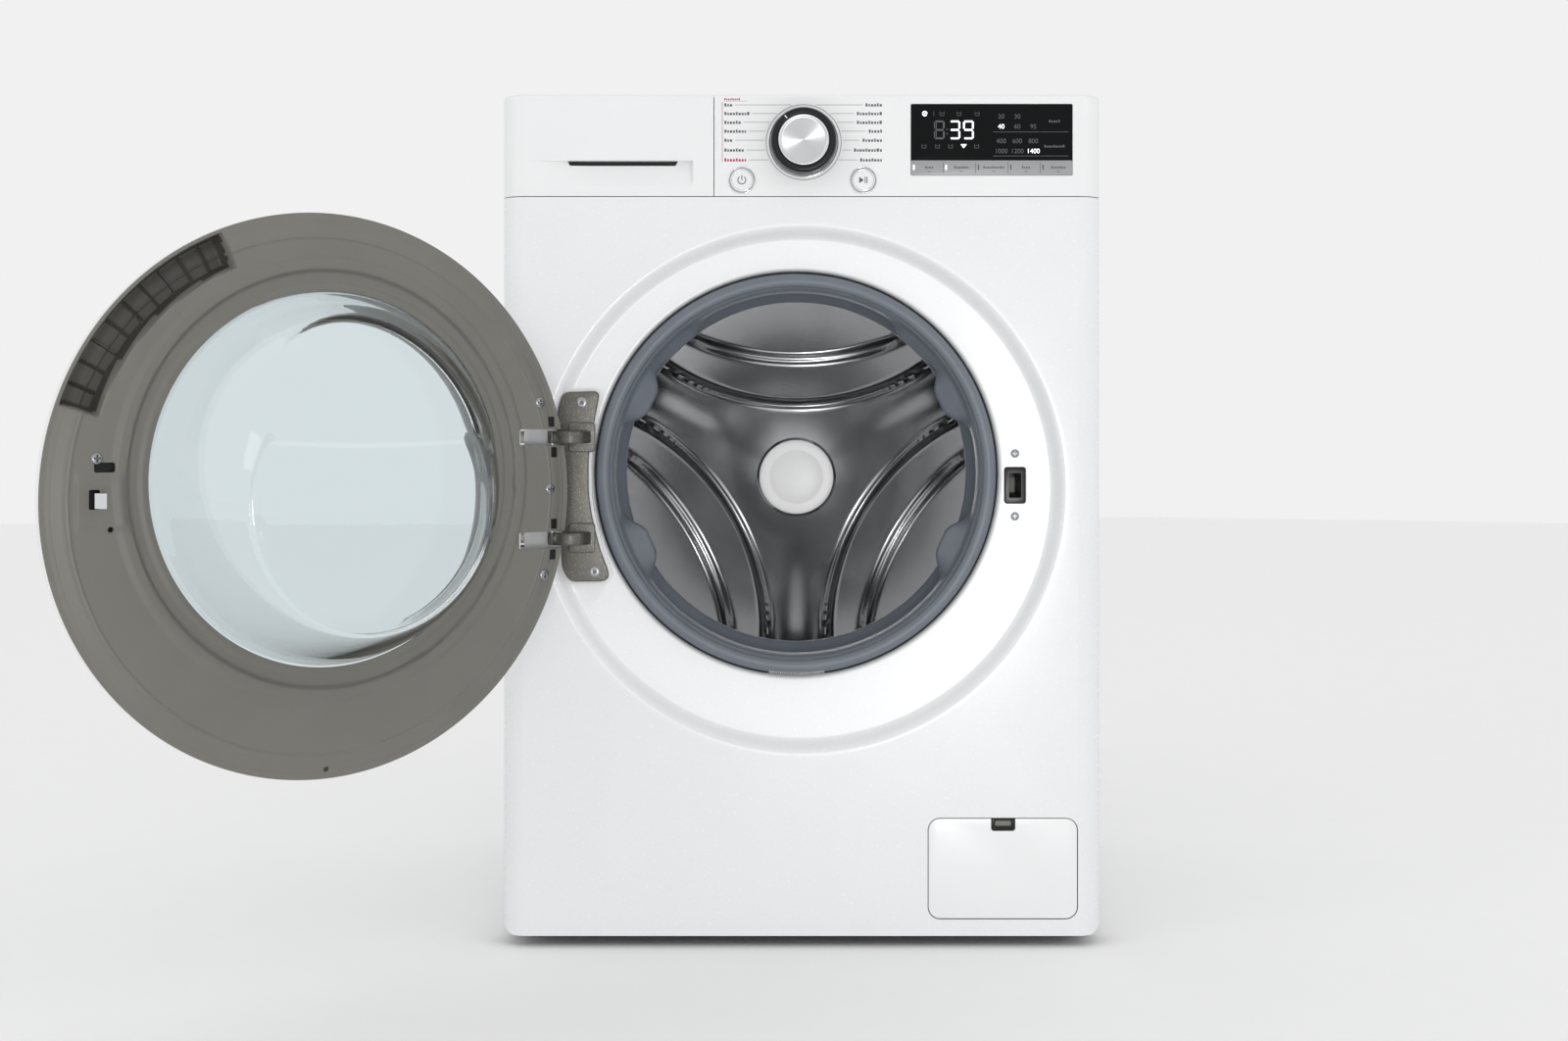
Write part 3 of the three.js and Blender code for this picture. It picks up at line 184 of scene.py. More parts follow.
def add_speckle(made, colour, size, share):
    """Specks of a second colour scattered over a finish, where a fine noise passes a share of its range."""
    tree = made.node_tree
    shader = tree.nodes["Principled BSDF"]
    below = shader.inputs["Base Color"].links[0].from_socket
    place = add_node(tree, "ShaderNodeTexCoord").outputs["Object"]
    specks = add_node(tree, "ShaderNodeTexNoise", {"Vector": place, "Scale": 1 / (size * MM), "Detail": 1.0})
    chosen = add_node(tree, "ShaderNodeMapRange", {
        "Value": specks.outputs["Fac"], "From Min": 1 - share, "From Max": 1.06 - share})
    over = add_node(tree, "ShaderNodeMix", {"Factor": chosen.outputs["Result"]}, data_type="RGBA")
    over.inputs[7].default_value = linear(colour)
    tree.links.new(below, over.inputs[6])
    tree.links.new(over.outputs[2], shader.inputs["Base Color"])
    return made


def glassy(name, colour, roughness, **constant):
    """Clear pressed glass or acrylic, with a faint waviness of the pressing in its surface."""
    made = finish(name, colour, colour, roughness, 22.0, 0.02, spread=0.0, **constant)
    made.node_tree.nodes["Principled BSDF"].inputs["Transmission Weight"].default_value = 1.0
    return made


def turned_metal(name, colour, shade, roughness, pitch):
    """Aluminium faced on a lathe: its highlight fans out from the middle, across rings at a pitch in mm."""
    made = finish(name, colour, shade, roughness, 0.6, 0.0005, metallic=1.0, Anisotropic=0.85)
    tree = made.node_tree
    shader = tree.nodes["Principled BSDF"]
    tangent = add_node(tree, "ShaderNodeTangent", direction_type="UV_MAP", uv_map="around")
    tree.links.new(tangent.outputs["Tangent"], shader.inputs["Tangent"])
    rings = add_node(tree, "ShaderNodeUVMap", uv_map="around")
    wave = add_node(tree, "ShaderNodeTexWave", {"Vector": rings.outputs["UV"], "Scale": 1 / pitch},
                    wave_type="BANDS", bands_direction="Y")
    rough = add_node(tree, "ShaderNodeMapRange", {
        "Value": wave.outputs["Fac"], "To Min": roughness - 0.05, "To Max": roughness + 0.05})
    tree.links.new(rough.outputs["Result"], shader.inputs["Roughness"])
    return made


FINISHES = {
    # sheet steel, powder enamelled and baked: glossy white with a faint orange peel
    "white_enamel_steel": finish("enamelled_steel", "#E8E9EA", "#E5E6E7", 0.26, 3.0, 0.004,
                                 Coat_Weight=0.3, Coat_Roughness=0.08),
    # hot dipped galvanised sheet: dull silver with grey spangle
    "galvanised_steel": finish("galvanised_sheet", "#B9BDC0", "#8F9498", 0.42, 9.0, 0.01,
                               metallic=0.9, cloud=14.0),
    # chipboard top with a melamine face: satin white, a fine pearl texture
    "laminated_board": finish("melamine_board", "#EBEBEB", "#E7E8E8", 0.42, 0.9, 0.02),
    # ABS moulded in a spark eroded tool: black, slightly satin
    "black_moulding": finish("black_abs", "#101113", "#16171A", 0.26, 0.8, 0.01,
                             Specular_IOR_Level=0.3),
    # ABS moulded and polished: white, clean gloss
    "white_moulding": finish("white_abs", "#EAEBEB", "#E7E8E9", 0.3, 2.2, 0.003, Coat_Weight=0.15),
    # smoked acrylic over the display: near black and mirror smooth
    "display_lens": finish("smoked_acrylic", "#08090A", "#0C0D0F", 0.08, 6.0, 0.001, spread=0.02,
                           Specular_IOR_Level=0.12),
    # pale acrylic window: clear with a cool cast
    "door_window_tint": glassy("window_acrylic", "#EAF1F3", 0.02, IOR=1.3),
    # polypropylene with a leather fine grain: warm grey, low sheen
    "grey_moulding": finish("grey_polypropylene", "#74736D", "#6B6A64", 0.46, 0.7, 0.02),
    # unpainted polypropylene of the tub and the tray: waxy pale grey
    "pale_polypropylene": finish("natural_polypropylene", "#C4C7CA", "#B4B8BC", 0.5, 1.4, 0.02),
    "blue_moulding": finish("blue_abs", "#4F7FB5", "#426FA2", 0.38, 1.0, 0.01),
    # EPDM rubber, moulded: blue grey with a soft bloom
    "gasket_rubber": finish("epdm_rubber", "#6B727B", "#60666F", 0.38, 1.2, 0.01, cloud=25.0),
    # carbon filled rubber: matt black
    "black_rubber": finish("black_rubber", "#202123", "#17181A", 0.72, 0.8, 0.04),
    # bright annealed stainless sheet, rolled: mirror with fine drawing lines
    "drum_stainless": finish("bright_stainless", "#C6C7C8", "#B6B7B8", 0.19, 0.9, 0.0, metallic=1.0,
                             spread=0.04, cloud=40.0),
    # painted hub: silver white satin; its faint emission is a painted highlight, a glow though the hub is no lamp
    "hub_satin": finish("satin_paint_painted_glow", "#FBFBFB", "#F6F6F6", 0.34, 1.5, 0.003,
                         Emission_Color=(1, 1, 1, 1), Emission_Strength=0.28),
    # zinc casting with a dark coat, sandy from the mould
    "cast_hinge": add_speckle(finish("coated_zinc_casting", "#6A6863", "#5C5A55", 0.4, 1.3, 0.08, metallic=0.75,
                                     cloud=12.0), "#A19E97", 1.1, 0.36),
    # chromed steel: mirror bright
    "chrome_steel": finish("chrome", "#E2E3E4", "#D5D6D8", 0.07, 5.0, 0.001, metallic=1.0, spread=0.03),
    # turned steel: bright, with fine tool marks
    "machined_steel": finish("turned_steel", "#A6A9AC", "#8E9194", 0.28, 0.5, 0.003, metallic=1.0),
    # die cast aluminium: dull, grainy
    "cast_aluminium": finish("cast_aluminium", "#B2B4B6", "#989B9D", 0.46, 1.6, 0.05, metallic=0.9),
    "spun_aluminium": turned_metal("spun_aluminium", "#D8D9DA", "#CBCCCE", 0.26, 0.35),
    # enamelled copper wire
    "motor_windings": finish("copper_windings", "#A0552E", "#7C3D1E", 0.4, 1.0, 0.2, metallic=0.7),
    # cast concrete: pale, with pores
    "concrete": add_speckle(finish("cast_concrete", "#94928D", "#7F7D78", 0.85, 2.0, 0.3), "#5F5D59", 3.0, 0.3),
    # epoxy glass board under green lacquer
    "circuit_board": finish("green_laminate", "#1F5A35", "#194B2C", 0.4, 1.0, 0.02),
    # pressed borosilicate: clear, thick edges read blue grey
    "clear_glass": glassy("pressed_glass", "#F3F8F9", 0.01, IOR=1.45),
}
# printed inks, lit marks and painted shade, which have no slot of their own
GREY_INK = finish("grey_ink", "#55585C", "#4B4E52", 0.5, 0.6, 0.002)
RED_INK = finish("red_ink", "#B3274B", "#A02143", 0.5, 0.6, 0.002)
LIT = finish("lit_segment", "#FFFFFF", "#F4F8FF", 0.4, 1.0, 0.0, Emission_Color=(0.95, 0.98, 1, 1),
             Emission_Strength=1.1)
UNLIT = finish("unlit_segment", "#58595C", "#4F5154", 0.4, 1.0, 0.0)
TOUCH_STRIP = finish("silver_film", "#9C9EA0", "#929496", 0.36, 0.8, 0.004, metallic=0.2)
# painted shade: the frame's grey darkened on faces deeper than 8.5 mm, in the finger pocket's recess
POCKET_SHADE = finish("pocket_painted_shade", "#45443F", "#3B3A36", 0.5, 0.9, 0.03)
# painted shade: a near black finish for plates put where gaps and hollows lie in shadow
PAINTED_GAP_SHADE = finish("painted_recess_shade", "#0C0C0D", "#101011", 0.7, 1.0, 0.02)


# ---- mesh helpers
def grid_faces(rows, columns, wrap_rows=False, wrap_columns=False):
    """Quads between neighbouring rows and columns; a wrapped direction joins its last line to its first."""
    down = np.arange(rows if wrap_rows else rows - 1)[:, None]
    across = np.arange(columns if wrap_columns else columns - 1)[None, :]
    below, beside = (down + 1) % rows, (across + 1) % columns
    corners = [down * columns + across, below * columns + across, below * columns + beside,
               down * columns + beside]
    return np.stack(corners, -1).reshape(-1, 4).tolist()


def surface(grid, **wrap):
    """A part, as points and faces, from a grid of points."""
    rows, columns = grid.shape[:2]
    return grid.reshape(-1, 3), grid_faces(rows, columns, **wrap)


def shell(outer, inner, wrap_columns=False):
    """A closed wall between two grids: down the one, back up the other, with both ends filled."""
    stack = np.concatenate([outer, inner[::-1]])
    rows, columns = stack.shape[:2]
    faces = grid_faces(rows, columns, wrap_rows=True, wrap_columns=wrap_columns)
    if not wrap_columns:
        half = len(outer)
        for end in (0, columns - 1):
            faces += [[i * columns + end, (i + 1) * columns + end, (rows - 2 - i) * columns + end,
                       (rows - 1 - i) * columns + end] for i in range(half - 1)]
    return stack.reshape(-1, 3), faces


def lofted(loops):
    """A closed body through loops of equal length, with a flat face on the first and the last."""
    loops = np.asarray(loops, float)
    count, size = loops.shape[:2]
    faces = grid_faces(count, size, wrap_columns=True)
    faces += [list(range(size)), [(count - 1) * size + i for i in range(size)]]
    return loops.reshape(-1, 3), faces


def joined(parts):
    """Several parts as one."""
    points, faces, start = [], [], 0
    for own_points, own_faces in parts:
        points.append(own_points)
        faces += [[corner + start for corner in face] for face in own_faces]
        start += len(own_points)
    return np.concatenate(points), faces


def mesh_object(name, part, normals=True, sharp=32):
    """A Blender object from a part in millimetres, welded, with its normals outwards and edges sharper
    than an angle in degrees kept crisp."""
    points, faces = part
    mesh = bpy.data.meshes.new(name)
    mesh.from_pydata((np.asarray(points) * MM).tolist(), [], faces)
    work = bmesh.new()
    work.from_mesh(mesh)
    bmesh.ops.remove_doubles(work, verts=work.verts, dist=2e-6)
    bmesh.ops.dissolve_degenerate(work, edges=work.edges, dist=1e-7)
    if normals:
        bmesh.ops.recalc_face_normals(work, faces=work.faces)
    work.to_mesh(mesh)
    work.free()
    made = bpy.data.objects.new(name, mesh)
    scene.collection.objects.link(made)
    crisp(made, sharp)
    return made


def crisp(made, sharp=32):
    """Smooth shading with sharp edges above an angle in degrees."""
    made.data.polygons.foreach_set("use_smooth", [True] * len(made.data.polygons))
    made.data.set_sharp_from_angle(angle=math.radians(sharp))


def applied(made):
    """The object with its modifiers worked into its mesh."""
    graph = bpy.context.evaluated_depsgraph_get()
    mesh = bpy.data.meshes.new_from_object(made.evaluated_get(graph))
    made.modifiers.clear()
    made.data = mesh
    return made


def carve(made, parts, operation="DIFFERENCE", sharp=32):
    """Cuts parts out of an object, or joins them to it, one boolean each."""
    for index, part in enumerate(parts):
        tool = mesh_object(f"{made.name}_tool_{index}", part)
        boolean = made.modifiers.new("carve", "BOOLEAN")
        boolean.operation = operation
        boolean.solver = "MANIFOLD"
        boolean.object = tool
        applied(made)
        bpy.data.objects.remove(tool)
    crisp(made, sharp)
    return made


def place(made, slot, body, nodes=(), material=None):
    """Gives a finished piece the material of its slot, or the one given, sets it on its body, and hides the CAD nodes
    it stands for.
    """
    made.data.materials.clear()
    made.data.materials.append(material or FINISHES[slot])
    if body:
        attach(made, body)
    if nodes:
        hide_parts(*nodes)
    return made


def smooth(t):
    """The curve 3t^2 - 2t^3, held at 0 and 1 outside its range."""
    t = np.clip(t, 0, 1)
    return t * t * (3 - 2 * t)


def rounded(points, radius, steps=5, closed=False):
    """A line whose corners are rounded: each corner gives way to a parabola that starts and ends a radius
    away from it, or half an edge away where that is nearer."""
    points = np.asarray(points, float)
    count = len(points)
    t = np.linspace(0, 1, steps + 1)[:, None]
    line = []
    for index, corner in enumerate(points):
        if not closed and index in (0, count - 1):
            line.append(corner[None, :])
            continue
        before, after = points[index - 1] - corner, points[(index + 1) % count] - corner
        start = corner + before * min(0.5, radius / np.linalg.norm(before))
        end = corner + after * min(0.5, radius / np.linalg.norm(after))
        line.append((1 - t) ** 2 * start + 2 * t * (1 - t) * corner + t ** 2 * end)
    return np.concatenate(line)


def inset(outline, distance):
    """A closed outline moved inwards along the mean of its neighbouring edges' normals."""
    outline = np.asarray(outline, float)
    along = np.roll(outline, -1, 0) - np.roll(outline, 1, 0)
    normal = np.stack([-along[:, 1], along[:, 0]], 1)
    normal /= np.linalg.norm(normal, axis=1)[:, None] + 1e-12
    area = np.sum(outline[:, 0] * np.roll(outline[:, 1], -1) - np.roll(outline[:, 0], -1) * outline[:, 1])
    return outline + normal * distance * (1 if area > 0 else -1)


def box_outline(x0, x1, z0, z1, radius, steps=6):
    """A rectangle with round corners, counter-clockwise."""
    corners = [(x1 - radius, z0 + radius, -90), (x1 - radius, z1 - radius, 0),
               (x0 + radius, z1 - radius, 90), (x0 + radius, z0 + radius, 180)]
    line = []
    for x, z, start in corners:
        turn = np.radians(start + np.linspace(0, 90, steps + 1))
        line.append(np.stack([x + radius * np.cos(turn), z + radius * np.sin(turn)], 1))
    return np.concatenate(line)


def circle(x, z, radius, count=64):
    """A circle in x and z."""
    turn = np.linspace(0, 2 * np.pi, count, endpoint=False)
    return np.stack([x + radius * np.cos(turn), z + radius * np.sin(turn)], 1)


def upright_loop(outline, y):
    """An outline in x and z, placed at a y."""
    return np.stack([outline[:, 0], np.full(len(outline), y), outline[:, 1]], 1)


def plate(outline, back, face, edge=0.0, steps=4):
    """A plate whose outline is carried from its back to its face, where the edge is rounded: the outline
    moves in by edge (1 - cos a) while it moves forward by edge sin a."""
    outline = np.asarray(outline, float)
    toward = math.copysign(1, face - back)
    loops = [upright_loop(outline, back)]
    for a in np.linspace(0, np.pi / 2, steps + 1) if edge else [0]:
        y = face - toward * edge * (1 - math.sin(a))
        loops.append(upright_loop(inset(outline, edge * (1 - math.cos(a))), y))
    return lofted(loops)


def turned(profile, x, z, count=128, closed=True):
    """A profile of radius and y, and perhaps a drop, turned about an axis along Y: a point (r, y) sweeps
    x + r cos a and z + r sin a. A closed profile joins its end to its start."""
    profile = np.asarray(profile, float)
    turn = np.linspace(0, 2 * np.pi, count, endpoint=False)
    r, y = profile[:, 0][:, None], profile[:, 1][:, None]
    drop = profile[:, 2][:, None] if profile.shape[1] > 2 else 0.0
    grid = np.stack(np.broadcast_arrays(x + r * np.cos(turn), y, z + r * np.sin(turn) - drop), -1)
    return surface(grid, wrap_rows=closed, wrap_columns=True)


def ribbon(line, wall):
    """A line in two dimensions thickened to both sides, as a closed outline."""
    line = np.asarray(line, float)
    along = np.gradient(line, axis=0)
    along /= np.linalg.norm(along, axis=1)[:, None]
    normal = np.stack([-along[:, 1], along[:, 0]], 1) * wall / 2
    return np.concatenate([line + normal, (line - normal)[::-1]])


def bars(rows, back, face):
    """Thin printed or lit bars, each an x and z range, raised from a back to a face."""
    rows = np.asarray(rows, float)
    x0, x1, z0, z1 = rows.T
    corners = [(x0, z0), (x1, z0), (x1, z1), (x0, z1)]
    points = np.stack([np.stack([x, np.full(len(rows), y), z], 1) for y in (back, face) for x, z in corners], 1)
    quads = np.array([[0, 1, 2, 3], [4, 7, 6, 5], [0, 4, 5, 1], [1, 5, 6, 2], [2, 6, 7, 3], [3, 7, 4, 0]])
    faces = quads[None] + 8 * np.arange(len(rows))[:, None, None]
    return points.reshape(-1, 3), faces.reshape(-1, 4).tolist()


def swung(part):
    """A part of the closed door, turned back by the opening about the hinge's upright axis."""
    points, faces = part
    turn = -math.radians(OPENING)
    x, y = points[:, 0] - HINGE[0], points[:, 1] - HINGE[1]
    return np.stack([HINGE[0] + x * math.cos(turn) - y * math.sin(turn),
                     HINGE[1] + x * math.sin(turn) + y * math.cos(turn), points[:, 2]], 1), faces


def screw_head(x, z, face, radius, toward=-1, count=32):
    """A cross-slotted pan head: a low dome whose top sinks in where either of two crossed slots lies."""
    r = np.concatenate([np.linspace(0, 0.62, 12), np.linspace(0.68, 1, 6)])[:, None] * radius
    turn = np.linspace(0, 2 * np.pi, count, endpoint=False)
    u, v = r * np.cos(turn), r * np.sin(turn)
    dome = radius * 0.42 * np.sqrt(np.clip(1 - (r / radius) ** 2, 0, 1)) + 0 * u
    arm = radius * 0.13
    slot = (np.minimum(np.abs(u), np.abs(v)) < arm) & (np.hypot(u, v) < radius * 0.6)
    height = np.where(slot, dome - radius * 0.4, dome)
    grid = np.stack([x + u, face + toward * height, z + v], -1)
    return surface(grid, wrap_columns=True)


# ---- cabinet
def wrapped_side(border, side):
    """The strip from the flat of the front round one vertical edge to the side: a quarter circle of the
    edge's radius, then straight back. Its lower end follows the round lower corner of the front."""
    edge = border[np.abs(border[:, 0] - side * (HALF_WIDTH - EDGE)) < 1e-6]
    heights = np.sort(edge[:, 1])[::side]
    turn = np.linspace(0, np.pi / 2, 9)
    across = np.append(HALF_WIDTH - EDGE + EDGE * np.sin(turn), HALF_WIDTH)
    back = np.append(FRONT + EDGE * (1 - np.cos(turn)), RETURN)
    beyond = np.clip(across - (HALF_WIDTH - CORNER), 0, CORNER)
    low = SKIRT + CORNER - np.sqrt(CORNER ** 2 - beyond ** 2)
    share = (heights - SKIRT) / (STRIP - SKIRT)
    z = low[:, None] + share * (STRIP - low)[:, None]
    grid = np.stack(np.broadcast_arrays(side * across[:, None], back[:, None], z), -1)
    return surface(grid)


def front_panel():
    """One pressed sheet. Its rows are circles that grow from the porthole's collar, over the dish's floor
    and up a smooth slope to the flat, and the last row is the rectangle between the round edges."""
    flat_x = HALF_WIDTH - EDGE
    corners = [math.atan2(z - DISH[1], x) for x in (-flat_x, flat_x) for z in (SKIRT, STRIP)]
    turn = np.unique(np.append(np.linspace(-np.pi, np.pi, 288, endpoint=False), corners))
    ray = np.stack([np.cos(turn), np.sin(turn)], 1)
    steep = np.maximum(np.abs(ray), 1e-9)
    rise = np.where(ray[:, 1] > 0, STRIP - DISH[1], DISH[1] - SKIRT)
    border = DISH + ray * np.minimum(flat_x / steep[:, 0], rise / steep[:, 1])[:, None]
    floor_y = FRONT + DISH_DEPTH
    bend = 5.0
    rows = [upright_loop(PORTHOLE + ray * PORTHOLE_RADIUS, floor_y + COLLAR)]
    for a in np.linspace(0, np.pi / 2, 7):
        rows.append(upright_loop(PORTHOLE + ray * (PORTHOLE_RADIUS + bend * (1 - math.cos(a))),
                                 floor_y + bend * (1 - math.sin(a))))
    for t in np.linspace(0, 1, 15):
        rows.append(upright_loop(DISH + ray * (DISH_RADIUS - DISH_SLOPE * (1 - t)),
                                 floor_y - DISH_DEPTH * smooth(t)))
    rows.append(upright_loop(DISH + ray * (DISH_RADIUS + 3), FRONT))
    rows.append(upright_loop(border, FRONT))
    sheet = surface(np.stack(rows), wrap_columns=True)
    part = joined([sheet, wrapped_side(border, 1), wrapped_side(border, -1)])
    panel = mesh_object("front_panel_sheet", part)
    if sum(face.normal.y * face.area for face in panel.data.polygons) > 0:
        panel.data.flip_normals()
    wall = panel.modifiers.new("sheet", "SOLIDIFY")
    wall.thickness = SHEET * MM
    wall.offset = -1
    applied(panel)
    bracket = rounded(BRACKET, 7, closed=True)
    low, high = span("filter_flap")
    flap = box_outline(low[0] - SEAM, high[0] + SEAM, low[2] - SEAM, high[2] + SEAM, 12.3)
    lock = box_outline(LOCK[0] - 11.1, LOCK[0] + 11.1, LOCK[1] - 18.5, LOCK[1] + 18.5, 3)
    carve(panel, [plate(inset(bracket, -2.8), floor_y + SHEET - 0.1, FRONT + BRACKET_SEAT - 0.2)], "UNION")
    carve(panel, [plate(inset(bracket, -SEAM), FRONT + BRACKET_SEAT, FRONT - 3),
                  plate(flap, FRONT + 8, FRONT - 3), plate(lock, floor_y + 5, FRONT - 3)], sharp=28)
    place(panel, "white_enamel_steel", "cabinet", ["front_panel"])


def strip_shell(name, x_values, z_values, left=False, right=False, relief=None):
    """A moulded length of the control strip. Its plan runs straight across the front and round one end,
    its section rises, rounds over the top and runs back, and both are offset inwards by the wall."""
    crown = 4.0
    turn = np.linspace(0, np.pi / 2, 9)
    bend = [(HALF_WIDTH - EDGE + EDGE * np.sin(a), FRONT + EDGE * (1 - np.cos(a)), np.sin(a), -np.cos(a))
            for a in turn] + [(HALF_WIDTH, RETURN, 1, 0)]
    plan = [(x, FRONT, 0, -1) for x in x_values]
    if right:
        plan += bend
    if left:
        plan = [(-x, y, -nx, ny) for x, y, nx, ny in reversed(bend)] + plan
    plan = np.array(plan)
    over = np.linspace(0, np.pi / 2, 7)
    z = np.append(z_values, TOP - crown * (1 - np.sin(over)))[:, None]
    tilt = np.append(np.zeros(len(z_values)), over)[:, None]
    back = np.append(np.zeros(len(z_values)), crown * (1 - np.cos(over)))[:, None]
    x, y, nx, ny = plan.T[:, None, :]
    if relief is not None:
        back = back + relief(x, z) * (ny == -1)
    outer = np.stack(np.broadcast_arrays(x - nx * back, y - ny * back, z), -1)
    inward = np.stack(np.broadcast_arrays(-nx * np.cos(tilt), -ny * np.cos(tilt), -np.sin(tilt)), -1)
    inner = outer + WALL * inward
    ends = (-HALF_WIDTH + crown if left else x.min(), HALF_WIDTH - crown if right else x.max())
    rim = np.stack([np.clip(plan[:, 0], *ends), np.full(len(plan), RETURN), np.full(len(plan), TOP)], 1)
    outer = np.concatenate([outer, rim[None]])
    inner = np.concatenate([inner, rim[None] - [0, 0, WALL]])
    return mesh_object(name, shell(outer, inner))


def control_console():
    """The right length of the strip, with openings for the display, the buttons and the dial."""
    low = CONSOLE_LOW[2]
    console = strip_shell("control_console_shell", np.linspace(CONSOLE_LOW[0], HALF_WIDTH - EDGE, 12),
                          np.linspace(low, TOP - 4.0, 8), right=True)
    d_low, d_high = span("display_window")
    holes = [plate(box_outline(d_low[0] - 0.3, d_high[0] + 0.3, d_low[2] - 0.3, d_high[2] + 0.3, 1.6),
                   FRONT + 6, FRONT - 3)]
    for name in ("power_button", "start_button"):
        x, z, radius = middle(name)
        holes.append(plate(circle(x, z, radius + 0.4), FRONT + 6, FRONT - 3))
    x, z, _ = middle("dial_knob")
    holes.append(plate(circle(x, z, 6.4, 32), FRONT + 6, FRONT - 3))
    carve(console, holes)
    place(console, "white_moulding", "cabinet", ["control_console"])


def middle(node):
    """The middle of a CAD node in x and z, and half its width."""
    low, high = span(node)
    return (low[0] + high[0]) / 2, (low[2] + high[2]) / 2, (high[0] - low[0]) / 2


def scoop_depth(x, z):
    """The grip's hollow: it deepens with height as the 1.4th power of a sine, fades in from the left
    over 70 mm, ends at the right in a round-cornered edge, and has a deep slot under its upper edge."""
    low, high, left, right, corner = 755.0, 783.5, -275.0, -108.0, 9.0
    up = np.clip((z - low) / (high - low), 0, 1)
    below = np.clip(corner - (z - low), 0, corner)
    end = right - corner + np.sqrt(corner ** 2 - below ** 2)
    bowl = 8.0 * np.sin(up * np.pi / 2) ** 1.4 * smooth((x - left) / 70) * smooth((end - x) / 3.5)
    inside = (z >= low) & (z <= high)
    slot = (z > high - 4.2) & (z < high) & (x > -234 + (high - z) * 0.6) & (x < -124 - (high - z) * 0.6)
    return np.where(slot, 14.0, np.where(inside, bowl, 0.0))


def drawer_front():
    """The left length of the strip, with the grip's hollow pressed in."""
    low = DRAWER_LOW[2]
    high_x = DRAWER_HIGH[0]
    x_values = np.unique(np.concatenate([
        np.linspace(-HALF_WIDTH + EDGE, high_x, 64), np.linspace(-238, -230, 21),
        np.linspace(-128, -120, 21), np.linspace(-114, -106, 17)]))
    z_values = np.unique(np.concatenate([
        np.linspace(low, TOP - 4.0, 26), np.linspace(753, 765, 13), np.linspace(765, 778, 11),
        np.linspace(778, 784.5, 27)]))
    drawer = strip_shell("drawer_front_shell", x_values, z_values, left=True, relief=scoop_depth)
    place(drawer, "white_moulding", "drawer", ["drawer_front"])
    # A near black bar set deep in the grip's slot: painted shade for the shadow under the overhang
    slot = bars([(-233, -125, 779.4, 783.4)], FRONT + 13.5, FRONT + 8.5)
    place(mesh_object("drawer_grip_slot_shade", slot), "black_moulding", "drawer", material=PAINTED_GAP_SHADE)


def lying_loop(outline, z):
    """An outline in x and y, placed at a height."""
    return np.stack([outline[:, 0], outline[:, 1], np.full(len(outline), z)], 1)


def top_panel():
    """The board: a rectangle with small round corners whose upper and lower edges are rounded by a
    quarter circle."""
    low, high = span("top_panel")
    outline = box_outline(low[0], high[0], low[1], high[1], 3)
    edge = 2.0
    turn = np.linspace(0, np.pi / 2, 5)
    loops = [lying_loop(inset(outline, edge * (1 - math.sin(a))), low[2] + edge * (1 - math.cos(a)))
             for a in turn]
    loops += [lying_loop(inset(outline, edge * (1 - math.cos(a))), high[2] - edge * (1 - math.sin(a)))
              for a in turn]
    place(mesh_object("top_board", lofted(loops)), "laminated_board", "cabinet", ["top_panel"])


def side_panel(side, node):
    """A pressed side: a field with round corners sinks 2 mm behind its border over a smooth 14 mm slope,
    and the border rolls back at the edges as a quarter circle."""
    low, high = span(node)
    roll, border, slope, sink = 2.5, 46.0, 14.0, 2.0
    fine = np.array([0, 0.15, 0.4, 0.8, 1.4, roll, border - 1, border])
    ramp = np.linspace(border, border + slope, 8)[1:]
    steps = np.append(fine, ramp)
    y = np.unique(np.concatenate([low[1] + steps, [0.0], high[1] - steps]))
    plain = np.linspace(low[2] + 100, high[2] - 100, 5)
    z = np.unique(np.concatenate([low[2] + steps, plain, high[2] - steps]))
    near_y = np.minimum(y - low[1], high[1] - y)[None, :]
    near_z = np.minimum(z - low[2], high[2] - z)[:, None]
    field = np.minimum(near_y, near_z)
    edge = roll * (1 - np.sqrt(1 - (1 - np.clip(field, 0, roll) / roll) ** 2))
    depth = edge + sink * smooth((field - border) / slope)
    grid = np.stack(np.broadcast_arrays(side * (HALF_WIDTH - depth), y[None, :], z[:, None]), -1)
    behind = grid.copy()
    behind[..., 0] = side * (HALF_WIDTH - 16)
    place(mesh_object(f"{node}_sheet", shell(grid, behind)), "white_enamel_steel", "cabinet", [node])


def filter_flap():
    """The service flap: a rounded plate with a stiffening tray behind it and a black catch at its top."""
    low, high = span("filter_flap")
    outline = box_outline(low[0], high[0], low[2], high[2], 11.5)
    body = joined([plate(outline, FRONT + 2.8, FRONT, 0.9), plate(inset(outline, 5), FRONT + 6, FRONT + 2.5)])
    flap = mesh_object("service_flap", body)
    x, top = CATCH_X, high[2]
    carve(flap, [plate(box_outline(x - 12.1, x + 12.1, top - 12.4, top + 6, 3), FRONT + 4.5, FRONT - 1)])
    place(flap, "white_moulding", "filter_flap", ["filter_flap"])
    # A near black ring behind the flap's seam: painted shade for the shadow in the gap round the flap
    seam = mesh_object("flap_seam_shade", plate(inset(outline, -4), FRONT + 8.6, FRONT + 7.6))
    carve(seam, [plate(inset(outline, 4), FRONT + 12, FRONT + 4)])
    place(seam, "black_moulding", "cabinet", material=PAINTED_GAP_SHADE)
    cup = mesh_object("flap_catch_cup", plate(box_outline(x - 11.9, x + 11.9, top - 12.2, top - 0.2, 3),
                                              FRONT + 4.4, FRONT + 0.4, 0.5))
    carve(cup, [plate(box_outline(x - 9.6, x + 9.6, top - 9.8, top + 3, 2.4), FRONT + 3.4, FRONT - 1)])
    place(cup, "black_moulding", "filter_flap")
    tongue = plate(box_outline(x - 8.2, x + 8.2, top - 7.6, top - 2.4, 1.5), FRONT + 3.6, FRONT + 1.4, 0.6)
    place(mesh_object("flap_catch_tongue", tongue), "grey_moulding", "filter_flap")


